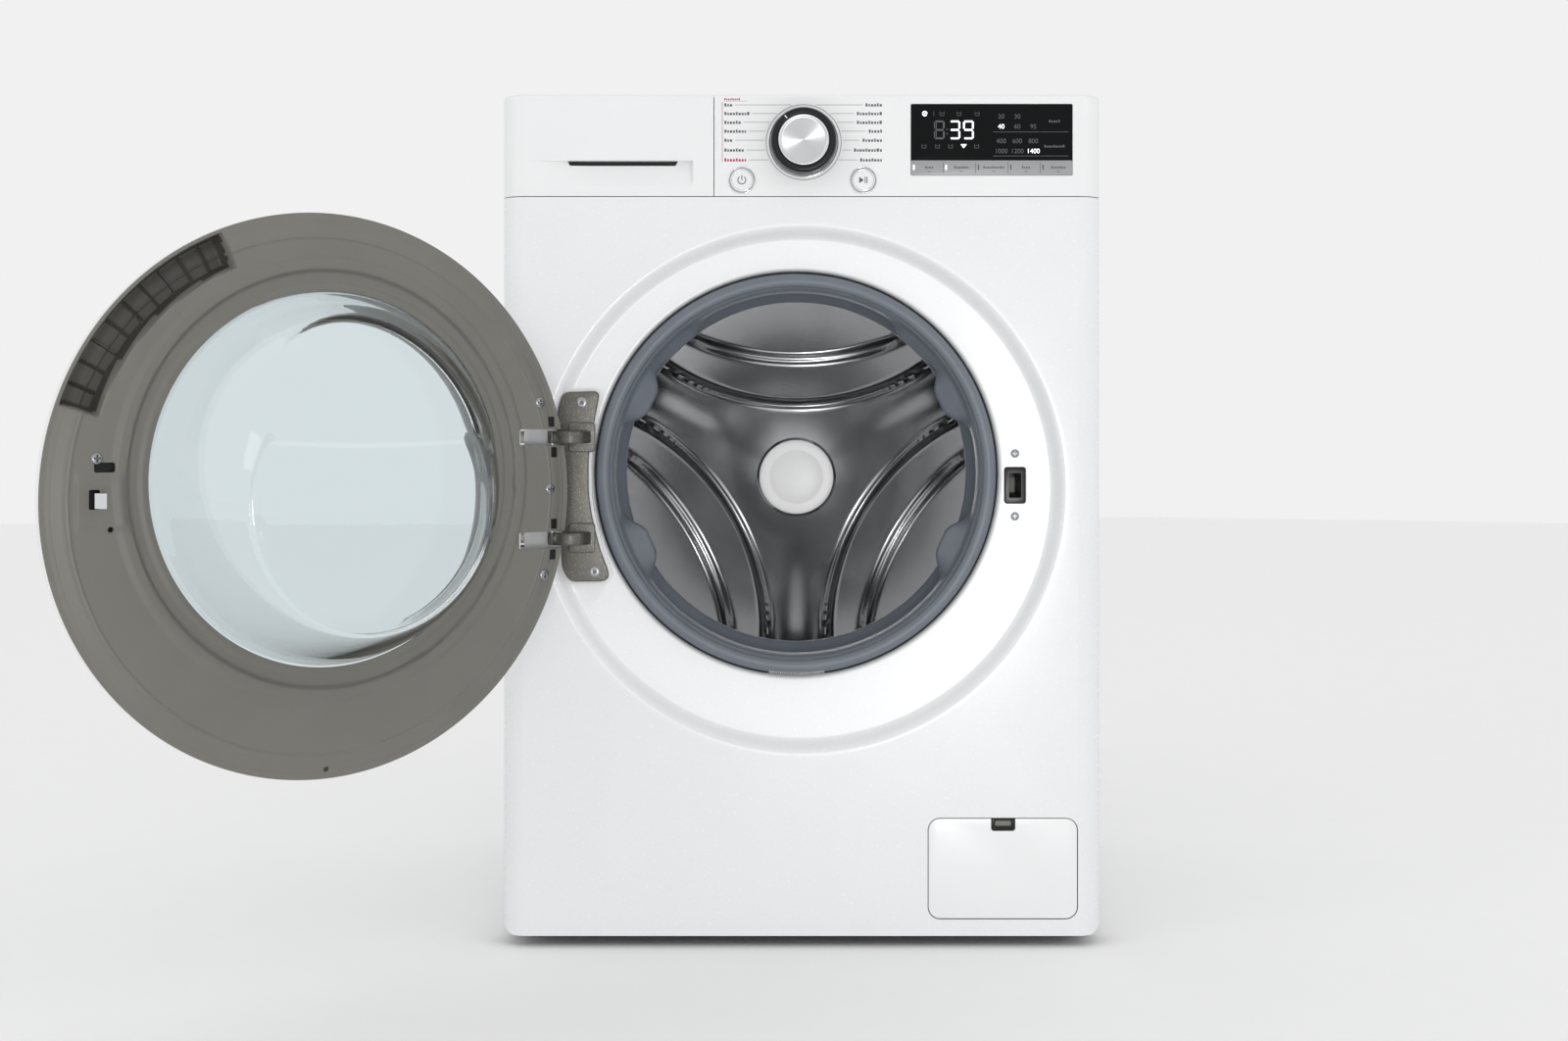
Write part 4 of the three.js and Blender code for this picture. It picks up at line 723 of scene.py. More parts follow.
# ---- control strip fittings
def display():
    """The lens over the upper part of the window and a touch strip with five fields under it."""
    low, high = span("display_window")
    strip_top = low[2] + 15.0
    back, face = low[1] + 2.3, low[1]
    lens = plate(box_outline(low[0], high[0], strip_top + 0.1, high[2], 1.5), back, face, 0.25)
    place(mesh_object("display_lens", lens), "display_lens", "cabinet", ["display_window"])
    strip = plate(box_outline(low[0], high[0], low[2], strip_top - 0.1, 1.2), back, face, 0.25)
    place(mesh_object("touch_strip", strip), "display_lens", "cabinet", material=TOUCH_STRIP)
    fields = 5
    width = (high[0] - low[0]) / fields
    ink, lamps = [], []
    for index in range(fields):
        x = low[0] + width * index
        if index:
            ink.append((x - 0.25, x + 0.25, low[2] + 2, strip_top - 2))
        (lamps if index < 2 else ink).append((x + 2.2, x + 3.6, low[2] + 5.5, low[2] + 10.5))
        ink += word(x + width / 2 + 2, low[2] + 8, 4 + 3 * (index % 3), 2.4, centred=True)
        ink += word(x + width / 2 + 2, low[2] + 4, 3, 1.1, centred=True)
    printed("touch_strip_marks", ink, face, GREY_INK)
    printed("touch_strip_lamps", lamps, face, LIT)
    display_marks(low, high, face)


def display_marks(low, high, face):
    """What the display shows: a two digit time, faint digits beside it, rows of small signs, and the
    temperatures and spin speeds with one of each lit."""
    x0, z1 = low[0], high[2]
    digit = (z1 - 35, 10.6, 18.6)  # foot, width and height
    lit = seven_segment("3", x0 + 38.5, *digit) + seven_segment("9", x0 + 52, *digit)
    dim = seven_segment("1", x0 + 15, *digit) + seven_segment("8", x0 + 23, *digit)
    dim += [(x0 + 35.4, x0 + 36.6, z1 - 26, z1 - 24.8), (x0 + 35.4, x0 + 36.6, z1 - 30, z1 - 28.8)]
    for row, count in ((z1 - 9.5, 3), (z1 - 42, 4)):
        for index in range(count):
            x = x0 + (31, 48, 66)[index] if count == 3 else x0 + (13, 26.5, 39.5, 65.5)[index]
            dim += [(x - 2.2, x + 2.2, row - 2.2, row - 1.7), (x - 2.2, x - 1.7, row - 2.2, row + 2),
                    (x + 1.7, x + 2.2, row - 2.2, row + 2), (x - 1, x + 1, row + 0.4, row + 0.9)]
    dim += [(x0 + 22.6, x0 + 23, z1 - 12, z1 - 7)]
    lines = [(x0 + 82, x0 + 128, z1 - 28, z1 - 27.5), (x0 + 129, x0 + 157, z1 - 28, z1 - 27.5),
             (x0 + 82, x0 + 128, z1 - 52, z1 - 51.5), (x0 + 129, x0 + 157, z1 - 52, z1 - 51.5)]
    dim += lines
    for z, letters in ((z1 - 17, 5), (z1 - 42, 9)):
        dim += word(x0 + 143, z, letters, 2.6, centred=True)
    printed("display_unlit_marks", dim, face, UNLIT)
    printed("display_lit_digits", lit, face, LIT)
    rows = [(z1 - 12.5, ("20", "30", "")), (z1 - 22.5, ("40", "60", "95")),
            (z1 - 37, ("400", "600", "800")), (z1 - 47, ("1000", "1200", "1400"))]
    for z, texts in rows:
        for column, text in enumerate(texts):
            if text:
                glow = LIT if text in ("40", "1400") else UNLIT
                made = mesh_object(f"display_number_{text}", number(text, x0 + 90 + 16 * column, z, 4.6, face))
                place(made, "display_lens", "cabinet", material=glow)
    spot = (x0 + 13.8, z1 - 9.5)
    ring = joined([band(*spot, 1.7, 2.6, 0, 340, face), band(*spot, 0, 0.8, 0, 360, face),
                   plate(np.array([(x0 + 49.5, z1 - 40), (x0 + 52.6, z1 - 44), (x0 + 55.7, z1 - 40)]),
                         face + 0.1, face - 0.06)])
    place(mesh_object("display_lit_signs", ring), "display_lens", "cabinet", material=LIT)


def number(text, x, z, height, face):
    """Digits of a height, centred on x and z, standing a tenth of a millimetre off a face."""
    curve = bpy.data.curves.new("digits", "FONT")
    curve.body = text
    curve.extrude = 0.01
    curve.align_x = "CENTER"
    curve.align_y = "CENTER"
    drawn = bpy.data.objects.new("digits", curve)
    scene.collection.objects.link(drawn)
    mesh = drawn.to_mesh()
    flat = np.zeros(len(mesh.vertices) * 3)
    mesh.vertices.foreach_get("co", flat)
    flat = flat.reshape(-1, 3) * height / 0.7
    faces = [list(polygon.vertices) for polygon in mesh.polygons]
    drawn.to_mesh_clear()
    bpy.data.objects.remove(drawn)
    return np.stack([x + flat[:, 0], face - flat[:, 2], z + flat[:, 1]], 1), faces


def word(x, z, letters, height, centred=False):
    """Stands for a word: upright blocks of a letter's width, in three widths that repeat."""
    widths = [(0.62, 0.5, 0.72)[index % 3] * height for index in range(letters)]
    step = 0.28 * height
    start = x - (sum(widths) + step * (letters - 1)) / 2 if centred else x
    blocks = []
    for index, width in enumerate(widths):
        tall = height * (1.0 if index % 4 == 0 else 0.74)
        blocks.append((start, start + width, z - height / 2, z - height / 2 + tall))
        start += width + step
    return blocks


def seven_segment(digit, x, z, width, height):
    """The lit bars of one digit, between its lower left corner and its width and height."""
    thick, short = width * 0.16, width * 0.12
    half = z + height / 2
    bars_of = {"a": (x + short, x + width - short, z + height - thick, z + height),
               "g": (x + short, x + width - short, half - thick / 2, half + thick / 2),
               "d": (x + short, x + width - short, z, z + thick),
               "f": (x, x + thick, half + short, z + height - short),
               "b": (x + width - thick, x + width, half + short, z + height - short),
               "e": (x, x + thick, z + short, half - short),
               "c": (x + width - thick, x + width, z + short, half - short)}
    return [bars_of[key] for key in {"1": "bc", "3": "abgcd", "8": "abcdefg", "9": "abcdfg"}[digit]]


def printed(name, rows, face, ink, body="cabinet", slot="display_lens"):
    """Marks as one piece, a few hundredths of a millimetre proud of a face."""
    place(mesh_object(name, bars(rows, face + 0.1, face - 0.06)), slot, body, material=ink)


def band(x, z, inner, outer, start, end, face, thick=0.06):
    """Part of a flat ring between two angles in degrees; a disc where the inner radius is nought."""
    turn = np.radians(np.linspace(start, end, 40))
    line = np.stack([np.cos(turn), np.sin(turn)], 1)
    if inner:
        outline = np.concatenate([line * outer, line[::-1] * inner])
    else:
        outline = line[:-1] * outer
    return plate(outline + [x, z], face + 0.1, face - thick)


def dial():
    """A gloss black knob with a turned aluminium cap, in a trim ring, with the programme marks."""
    x, z, radius = middle("dial_knob")
    _, _, cap = middle("dial_cap")
    face = span("dial_knob")[0][1]
    low = FRONT - 1.5
    knob = [(0, face + 3.4), (cap + 0.5, face + 3.4), (cap + 0.5, face + 0.2), (cap + 1.5, face),
            (radius - 3.2, face), (radius - 1.6, face + 0.9), (radius - 0.5, face + 4), (radius, low), (6, low),
            (6, FRONT + 8), (0, FRONT + 8)]
    part = turned(rounded(knob, 1.0), x, z, 160, closed=False)
    place(mesh_object("dial_grip", part), "black_moulding", "dial", ["dial_knob"])
    disc = [(0, face + 1.0), (cap - 3.2, face + 0.8), (cap - 2.0, face + 0.1), (cap - 0.7, face),
            (cap, face + 0.7), (cap, face + 3.1), (0, face + 3.1)]
    made = mesh_object("dial_face", turned(rounded(disc, 0.7), x, z, 160, closed=False))
    polar_map(made, x, z)
    place(made, "spun_aluminium", "dial", ["dial_cap"])
    tick = math.radians(128)
    reach = cap + 1.2
    ends = ((reach, -0.5), (reach + 3.6, -0.5), (reach + 3.6, 0.5), (reach, 0.5))
    across, up = math.cos(tick), math.sin(tick)
    pointer = plate(np.array([(x + r * across + s * up, z + r * up - s * across) for r, s in ends]),
                    face + 0.5, face - 0.05)
    place(mesh_object("dial_pointer", pointer), "white_moulding", "dial")
    trim = [(radius + 0.7, FRONT + 0.2), (radius + 0.7, FRONT - 1.0), (radius + 1.4, FRONT - 1.5),
            (radius + 2.2, FRONT - 1.2), (radius + 2.6, FRONT + 0.2)]
    trim = turned(rounded(trim, 0.4, closed=True), x, z, 160)
    place(mesh_object("dial_trim", trim), "chrome_steel", "cabinet")
    line = turned([(radius + 4.0, FRONT + 0.1), (radius + 4.0, FRONT - 0.06), (radius + 4.6, FRONT - 0.06),
                   (radius + 4.6, FRONT + 0.1)], x, z, 128)
    place(mesh_object("dial_ring_line", line), "white_moulding", "cabinet", material=GREY_INK)
    programme_marks(x, z, radius + 6)


def programme_marks(x, z, radius):
    """Seven programmes on either side of the dial, each a word of blocks and a leader line towards it."""
    heights = [839.2, 830.6, 821.8, 813.0, 804.0, 794.2, 784.4]
    left, right = (3, 9, 6, 8, 3, 7, 8), (6, 9, 9, 5, 7, 10, 8)
    ink, red = [], []
    for row, letters_left, letters_right in zip(heights, left, right):
        gap = math.sqrt(max(radius ** 2 - (row - z) ** 2, 36))
        blocks = word(-77, row, letters_left, 3.2)
        (red if row == heights[-1] else ink).extend(blocks)
        ink.append((blocks[-1][1] + 3, x - gap, row - 0.2, row + 0.2))
        blocks = word(0, row, letters_right, 3.2)
        shift = 80 - blocks[-1][1]
        ink += [(a + shift, b + shift, c, d) for a, b, c, d in blocks]
        ink.append((x + gap, shift - 3, row - 0.2, row + 0.2))
    red += word(-77, 845, 9, 2.0) + [(-77, -54, 842.9, 843.2), (-79.4, -78.9, 782.4, 842)]
    printed("programme_marks", ink, FRONT, GREY_INK, slot="white_moulding")
    printed("programme_marks_red", red, FRONT, RED_INK, slot="white_moulding")


def polar_map(made, x, z):
    """A map whose first value is the turn about an axis along Y, in turns, and whose second is the
    distance from it in millimetres. Corners of one face stay within half a turn of its middle."""
    mesh = made.data
    layer = mesh.uv_layers.new(name="around")
    flat = np.zeros(len(mesh.vertices) * 3)
    mesh.vertices.foreach_get("co", flat)
    points = flat.reshape(-1, 3) / MM - [x, 0, z]
    turn, radius = np.arctan2(points[:, 2], points[:, 0]) / (2 * np.pi), np.hypot(points[:, 0], points[:, 2])
    for face in mesh.polygons:
        corners = list(face.vertices)
        centre = math.atan2(face.center[2] / MM - z, face.center[0] / MM - x) / (2 * np.pi)
        for loop, corner in zip(face.loop_indices, corners):
            own = centre if radius[corner] < 0.01 else turn[corner]
            layer.data[loop].uv = (centre + (own - centre + 0.5) % 1 - 0.5, radius[corner])


def push_button(name, signs):
    """A white cap with a fine metal bead, in a metal ring on the strip, with a sign on its face."""
    x, z, radius = middle(name)
    face = span(name)[0][1]
    cap = [(0, face), (radius - 1.3, face), (radius - 0.4, face + 0.3), (radius, face + 1), (radius, FRONT + 6),
           (0, FRONT + 6)]
    place(mesh_object(f"{name}_cap", turned(rounded(cap, 0.5), x, z, 96, closed=False)), "white_moulding", name,
          [name])
    bead = [(radius - 2.1, face + 0.2), (radius - 2.1, face - 0.25), (radius - 1.3, face - 0.25),
            (radius - 1.3, face + 0.2)]
    place(mesh_object(f"{name}_bead", turned(rounded(bead, 0.25, closed=True), x, z, 96)), "chrome_steel", name)
    rim = [(radius + 0.45, FRONT + 0.3), (radius + 0.45, FRONT - 0.9), (radius + 1.0, FRONT - 1.2),
           (radius + 1.7, FRONT - 0.8), (radius + 1.9, FRONT + 0.3)]
    rim = turned(rounded(rim, 0.4, closed=True), x, z, 96)
    place(mesh_object(f"{name}_ring", rim), "chrome_steel", "cabinet")
    sign = mesh_object(f"{name}_sign", joined(signs(x, z, face)))
    place(sign, "white_moulding", name, material=GREY_INK)


def power_sign(x, z, face):
    """A ring open at its top and a bar in the opening."""
    bar = bars([(x - 0.5, x + 0.5, z - 0.3, z + 5)], face + 0.1, face - 0.06)
    return [band(x, z, 3.4, 4.4, 125, 415, face), bar]


def start_sign(x, z, face):
    """A triangle pointing right and two bars."""
    thick = (face + 0.1, face - 0.06)
    triangle = np.array([(x - 4.2, z - 3.2), (x + 0.4, z), (x - 4.2, z + 3.2)])
    pair = [(x + left, x + left + 0.9, z - 3.2, z + 3.2) for left in (1.3, 3.2)]
    return [plate(triangle, *thick), bars(pair, *thick)]


# ---- opening: gasket, lock and hinge bracket
def gasket():
    """The bellows between the sheet and the tub: one closed profile turned about the porthole, sagging to
    the drum's axis at its back. Four half moons, and a longer swelling beside each upper one, push in by
    21 mm times exp(-angle^4) exp(-depth^4), with both measured in their own widths."""
    front_skin = [(200.2, 21, 0), (200.3, 9, 0), (199, 5.6, 0), (194, 4.6, 0), (189.5, 5.0, 0), (186.8, 7.5, 0),
                  (186.2, 12, 0), (188.4, 14.4, 0), (188.2, 17, 0), (184.6, 19, 0), (183.0, 26, 0), (182.2, 38, 0),
                  (183.6, 49, 0), (188.0, 57, 0), (187.5, 65, 0), (181, 74, 0), (176.4, 79.5, 0), (175.2, 83, 0),
                  (175.8, 88, 0), (177.8, 90, 0)]
    back_skin = [(181, 84, 0.5), (188, 78.5, 1.5), (197, 80, 5), (207, 86, 13), (208.6, 93, 13.8), (211.2, 93, 13.8),
                 (211.2, 83, 13.8), (204, 76, 10), (196, 71, 3), (192, 64, 0), (192, 56, 0), (187.6, 47, 0),
                 (186.4, 36, 0), (187.4, 27, 0), (191, 24.5, 0)]
    profile = rounded(front_skin + back_skin, 2.2, closed=True, steps=4)
    turn = np.linspace(0, 2 * np.pi, 480, endpoint=False)
    swellings = ((26, 9, 1), (154, 9, 1), (-25, 9, 1), (205, 9, 1), (47, 10, 0.5), (133, 10, 0.5))
    moons = 0.0
    for degrees, width, share in swellings:
        away = (turn - math.radians(degrees) + np.pi) % (2 * np.pi) - np.pi
        moons = moons + share * np.exp(-(away / math.radians(width)) ** 4)
    depth = profile[:, 1][:, None]
    r = profile[:, 0][:, None] - 21 * np.exp(-((depth - 46) / 15) ** 4) * moons
    grid = np.stack(np.broadcast_arrays(
        PORTHOLE[0] + r * np.cos(turn), FRONT + depth,
        PORTHOLE[1] + r * np.sin(turn) - profile[:, 2][:, None]), -1)
    made = mesh_object("gasket_bellows", surface(grid, wrap_rows=True, wrap_columns=True), sharp=50)
    place(made, "gasket_rubber", None, ["gasket"])
    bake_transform(made)
    # A black ring in the gap between the panel's collar and the bellows: painted shade for the shadow in that gap
    ring_section = 0.8
    ring = [(201.1 + ring_section * math.cos(a), FRONT + 9.5 + ring_section * math.sin(a)) for a in np.linspace(0, 5.6, 8)]
    place(mesh_object("gasket_gap_shade_ring", turned(ring, *PORTHOLE, 256), sharp=70), "black_moulding", "cabinet")
    coil_turn = np.linspace(0, 1, 420)
    bend = np.radians(-90 + 16 * (coil_turn - 0.5))
    own = coil_turn * 2 * np.pi * 26
    reach = 199.6 + 1.9 * np.cos(own)
    line = np.stack([PORTHOLE[0] + reach * np.cos(bend), FRONT + 6.6 + 1.9 * np.sin(own),
                     PORTHOLE[1] + reach * np.sin(bend)], 1)
    place(mesh_object("gasket_clamp_coil", tube(line, 0.45, 8), sharp=70), "chrome_steel", "cabinet")


def tube(line, radius, count):
    """A round tube along a line: rings in the plane of two normals to the line's direction."""
    along = np.gradient(line, axis=0)
    along /= np.linalg.norm(along, axis=1)[:, None]
    side = np.cross(along, [0.31, 0.17, 0.94])
    side /= np.linalg.norm(side, axis=1)[:, None]
    over = np.cross(along, side)
    turn = np.linspace(0, 2 * np.pi, count, endpoint=False)[None, :, None]
    return lofted(line[:, None] + radius * (side[:, None] * np.cos(turn) + over[:, None] * np.sin(turn)))


def door_lock():
    """The black bezel in the dish with the hook's slot, a lever behind it, and a screw above and below."""
    _, high = span("door_lock")
    x, z = LOCK
    floor_y = FRONT + DISH_DEPTH
    bezel = mesh_object("lock_bezel", plate(box_outline(x - 10.6, x + 10.6, z - 18, z + 18, 2.4), high[1],
                                            floor_y - 1.5, 0.9))
    carve(bezel, [plate(box_outline(x - 6.2, x + 6.2, z - 12.5, z + 12.5, 1.2), floor_y + 30, floor_y - 4)])
    place(bezel, "black_moulding", "cabinet", ["door_lock"])
    lever = plate(box_outline(x - 4.6, x + 1.5, z - 8, z + 8, 1), floor_y + 19, floor_y + 15, 0.6)
    place(mesh_object("lock_lever", lever), "grey_moulding", "cabinet")
    for index, place_z in enumerate((491.5, 428.5)):
        head = screw_head(x, place_z, floor_y + 0.05, 4.4)
        place(mesh_object(f"lock_screw_{index}", head, sharp=40), "machined_steel", "cabinet")


def hinge_bracket():
    """A cast plate with two goose-neck arms that carry the door's pin, on two bolts."""
    outline = rounded(BRACKET, 7, closed=True)
    back, face = FRONT + BRACKET_SEAT - 0.3, BRACKET_FACE
    parts = [plate(outline, back, face, 1.3)]
    neck = rounded([(-247, 14), (-238, 22), (-229, 25), (-220, 21), (-214, 10), (-213, -4.5)], 8, steps=6)
    neck[:, 1] = FRONT - neck[:, 1]
    side = ribbon(neck, 6.0)
    for z in ARM_HEIGHTS:
        parts.append(lofted([lying_loop(inset(side, edge), z + height) for edge, height in (
            (1.0, -ARM_HALF), (0.3, 0.4 - ARM_HALF), (0, 1.2 - ARM_HALF), (0, ARM_HALF - 1.2),
            (0.3, ARM_HALF - 0.4), (1.0, ARM_HALF))]))
        parts.append(plate(box_outline(-233, -206, z - 15, z + 15, 4), face + 0.4, FRONT + 0.6, 1.2))
        turn = np.linspace(0, 2 * np.pi, 40, endpoint=False)
        eye = np.stack([-247 + 4.4 * np.cos(turn), FRONT - 14 + 4.4 * np.sin(turn)], 1)
        parts.append(lofted([lying_loop(inset(eye, edge), z + height) for edge, height in (
            (0.6, -ARM_HALF), (0, 0.6 - ARM_HALF), (0, ARM_HALF - 0.6), (0.6, ARM_HALF))]))
    made = mesh_object("hinge_casting", joined(parts), sharp=38)
    place(made, "cast_hinge", "cabinet", ["hinge_bracket"])
    for index, (x, z) in enumerate(((-219.8, 542.6), (-207, 373.7))):
        place(mesh_object(f"hinge_bolt_{index}", hex_bolt(x, z, face + 1.25)), "machined_steel", "cabinet")


def hex_bolt(x, z, face):
    """A button head with a hexagonal socket: rings of the head, then rings that turn from round to a
    hexagon and sink."""
    turn = np.linspace(0, 2 * np.pi, 48, endpoint=False)
    hexagon = 2.3 * math.cos(math.pi / 6) / np.cos((turn + math.pi / 6) % (math.pi / 3) - math.pi / 6)
    rows = [(6.2, 0, 0), (6.1, 0.5, 0), (5.2, 1.3, 0), (3.8, 1.7, 0), (2.7, 1.8, 0.6), (2.3, 1.7, 1), (2.3, 0.2, 1),
            (0.02, 0.2, 1)]
    grid = [np.stack([x + (r * (1 - s) + hexagon * r / 2.3 * s) * np.cos(turn), np.full(48, face - y),
                      z + (r * (1 - s) + hexagon * r / 2.3 * s) * np.sin(turn)], 1) for r, y, s in rows]
    return lofted(grid)


# ---- drum
def perforated_wall(count, rows, low, high, radius, wall, hole):
    """A cylinder of cells, each with an eight-sided hole: the cell's rim and the hole's rim have eight points
    each, and rings of quads join them on both walls and through the hole."""
    rim = np.array([(-1, -1), (0, -1), (1, -1), (1, 0), (1, 1), (0, 1), (-1, 1), (-1, 0)]) / 2
    cell = np.array([2 * np.pi * radius / count, (high - low) / rows])
    corner = np.arctan2(rim[:, 1] * cell[1], rim[:, 0] * cell[0])
    ring = np.stack([np.cos(corner), np.sin(corner)], 1) * hole
    local = np.concatenate([rim * cell, ring])
    around, along = np.meshgrid(np.arange(count), np.arange(rows), indexing="ij")
    centre = np.stack([around.ravel() * cell[0], low + (along.ravel() + 0.5) * cell[1]], 1)
    flat = centre[:, None] + local[None]
    points = []
    for reach in (radius, radius - wall):
        turn = flat[..., 0] / radius
        points.append(np.stack([AXIS_X + reach * np.cos(turn), flat[..., 1],
                                DRUM_Z + reach * np.sin(turn)], -1))
    points = np.concatenate(points, 1)
    side = np.arange(8)
    after = (side + 1) % 8
    quads = np.concatenate([np.stack([side, after, after + 8, side + 8], 1),
                            np.stack([side + 16, side + 24, after + 24, after + 16], 1),
                            np.stack([side + 8, after + 8, after + 24, side + 24], 1)])
    faces = quads[None] + 32 * np.arange(len(points))[:, None, None]
    return points.reshape(-1, 3), faces.reshape(-1, 4).tolist()


def drum():
    """The perforated wall with a rolled mouth, the pressed back, three ribs and the domed hub."""
    wall_front = DRUM_LOW[1] + 26
    wall = perforated_wall(88, 17, wall_front, DRUM_HIGH[1] - 16, DRUM_RADIUS, 1.0, 1.9)
    mouth = rounded([(DRUM_RADIUS, wall_front), (DRUM_RADIUS, wall_front - 12), (DRUM_RADIUS - 9, DRUM_LOW[1] + 1),
                     (197, DRUM_LOW[1] + 4), (195.6, DRUM_LOW[1]), (194.6, DRUM_LOW[1] + 4),
                     (198, DRUM_LOW[1] + 7), (DRUM_RADIUS - 10, DRUM_LOW[1] + 3.4), (DRUM_RADIUS - 1, wall_front - 11),
                     (DRUM_RADIUS - 1, wall_front)], 3, closed=True)
    back = [(DRUM_RADIUS, DRUM_HIGH[1] - 16), (DRUM_RADIUS, DRUM_HIGH[1]), (DRUM_RADIUS - 1, DRUM_HIGH[1]),
            (DRUM_RADIUS - 1, DRUM_HIGH[1] - 16)]
    made = mesh_object("drum_wall", joined([wall, turned(mouth, AXIS_X, DRUM_Z, 176),
                                            turned(back, AXIS_X, DRUM_Z, 176)]), sharp=40)
    place(made, "drum_stainless", "drum", ["drum_shell"])
    drum_back()
    for index, degrees in enumerate((30, 150, 270)):
        lifter(index + 1, math.radians(degrees))
    hub = [(0, HUB_LOW[1]), (HUB_RADIUS * 0.55, HUB_LOW[1] + 1.4), (HUB_RADIUS * 0.86, HUB_LOW[1] + 4.6),
           (HUB_RADIUS - 1.2, HUB_LOW[1] + 7.6), (HUB_RADIUS, HUB_LOW[1] + 9.4), (HUB_RADIUS, HUB_HIGH[1]),
           (0, HUB_HIGH[1])]
    hub = turned(rounded(hub, 6, steps=8), AXIS_X, DRUM_Z, 128, closed=False)
    # the hub's finish glows faintly: painted light that lifts it out of the drum's shade
    made = mesh_object("drum_hub", hub, sharp=55)
    place(made, "hub_satin", "drum", ["hub_cap"])


def drum_back():
    """A cone from the hub to the rim. Towards 90, 210 and 330 degrees it sinks by 7 mm inside a circle about
    a far centre and comes forward by 9 mm inside a second one, with a narrow ridge along each circle."""
    radii = np.linspace(HUB_RADIUS + 3, 243.4, 150)[:, None]
    turn = np.linspace(0, 2 * np.pi, 320, endpoint=False)[None, :]
    base = np.interp(radii, [46.6, 223.4, 243.4], [101, 134, 136])
    u, v = radii * np.cos(turn), radii * np.sin(turn)
    relief = 0.0
    for degrees in (90, 210, 330):
        cx, cz = math.cos(math.radians(degrees)), math.sin(math.radians(degrees))
        inner = np.hypot(u - 368 * cx, v - 368 * cz) - 284
        outer = np.hypot(u - 462 * cx, v - 462 * cz) - 325
        relief = relief + 7 * smooth(-inner / 10) - 9 * smooth(-outer / 10)
        relief = relief - 3.2 * np.exp(-(inner / 3.4) ** 2) - 3.2 * np.exp(-(outer / 3.4) ** 2)
    fade = smooth((radii - HUB_RADIUS - 4) / 22) * smooth((242 - radii) / 16)
    y = base + relief * fade
    face = np.stack([AXIS_X + u, y, DRUM_Z + v], -1)
    behind = face + [0, 1.2, 0]
    made = mesh_object("drum_back_pressing", shell(face, behind, wrap_columns=True), sharp=60)
    place(made, "drum_stainless", "drum", ["drum_back"])


def lifter(index, angle):
    """A hollow rib. Across, it rises by 44 (1 - |u|^2.5)^0.8 mm; towards its ends both its height and its
    width fall off by the same curve."""
    low, high = span(f"lifter_{index}")
    along = np.linspace(-1, 1, 49)[:, None]
    across = np.sin(np.linspace(-np.pi / 2, np.pi / 2, 33))[None, :]
    taper = (1 - np.abs(along) ** 5) ** 0.5
    height = 44 * (1 - np.abs(across) ** 2.5 + 1e-9) ** 0.8 * (0.35 + 0.65 * taper)
    height = height * smooth((1 - np.abs(along)) / 0.1)
    width = 31 * across * (0.72 + 0.28 * taper)
    middle_y, half = (low[1] + high[1]) / 2, (high[1] - low[1]) / 2
    foot = np.sqrt((DRUM_RADIUS - 2.2) ** 2 - width ** 2)
    reach = foot - height
    y = middle_y + half * along + 0 * width
    x = AXIS_X + reach * math.cos(angle) - width * math.sin(angle)
    z = DRUM_Z + reach * math.sin(angle) + width * math.cos(angle)
    top = np.stack([x, y, z], -1)
    base_x = AXIS_X + (foot + 0.6) * math.cos(angle) - width * math.sin(angle)
    base_z = DRUM_Z + (foot + 0.6) * math.sin(angle) + width * math.cos(angle)
    under = np.stack(np.broadcast_arrays(base_x, y, base_z), -1)
    made = mesh_object(f"drum_rib_{index}", shell(top, under), sharp=60)
    place(made, "drum_stainless", "drum", [f"lifter_{index}"])


# ---- door
def door_cover():
    """The outer ring: a closed section turned about the dish's centre, notched for the hinge's arms."""
    d = [(259, 7.8), (259, 18), (251, 26), (236, 37), (215, 45), (189.8, 51), (189.8, 50), (179.8, 50),
         (179.8, 47.8), (214, 42.8), (234.6, 34.8), (249, 24.4), (256.8, 17), (256.8, 7.8)]
    profile = rounded([(r, FRONT - y) for r, y in d], 5, closed=True)
    cover = mesh_object("door_ring", turned(profile, *DISH, 256))
    carve(cover, [plate(box_outline(-270, -203, z - 8, z + 8, 2), FRONT + 4, FRONT - 21) for z in ARM_HEIGHTS])
    swing(cover)
    place(cover, "white_moulding", "door", ["door_cover"])
    pane = rounded([(0, FRONT - 50.3), (189.3, FRONT - 50.3), (189.3, FRONT - 54), (186, FRONT - 55.2),
                    (0, FRONT - 55.3)], 2)
    window = mesh_object("door_window_pane", swung(turned(pane, *DISH, 192, closed=False)))
    place(window, "door_window_tint", "door", ["door_window"])


def swing(made):
    """Turns a finished mesh of the closed door by the opening about the hinge's upright axis."""
    pivot = Matrix.Translation((HINGE[0] * MM, HINGE[1] * MM, 0))
    made.data.transform(pivot @ Matrix.Rotation(-math.radians(OPENING), 4, "Z") @ pivot.inverted())


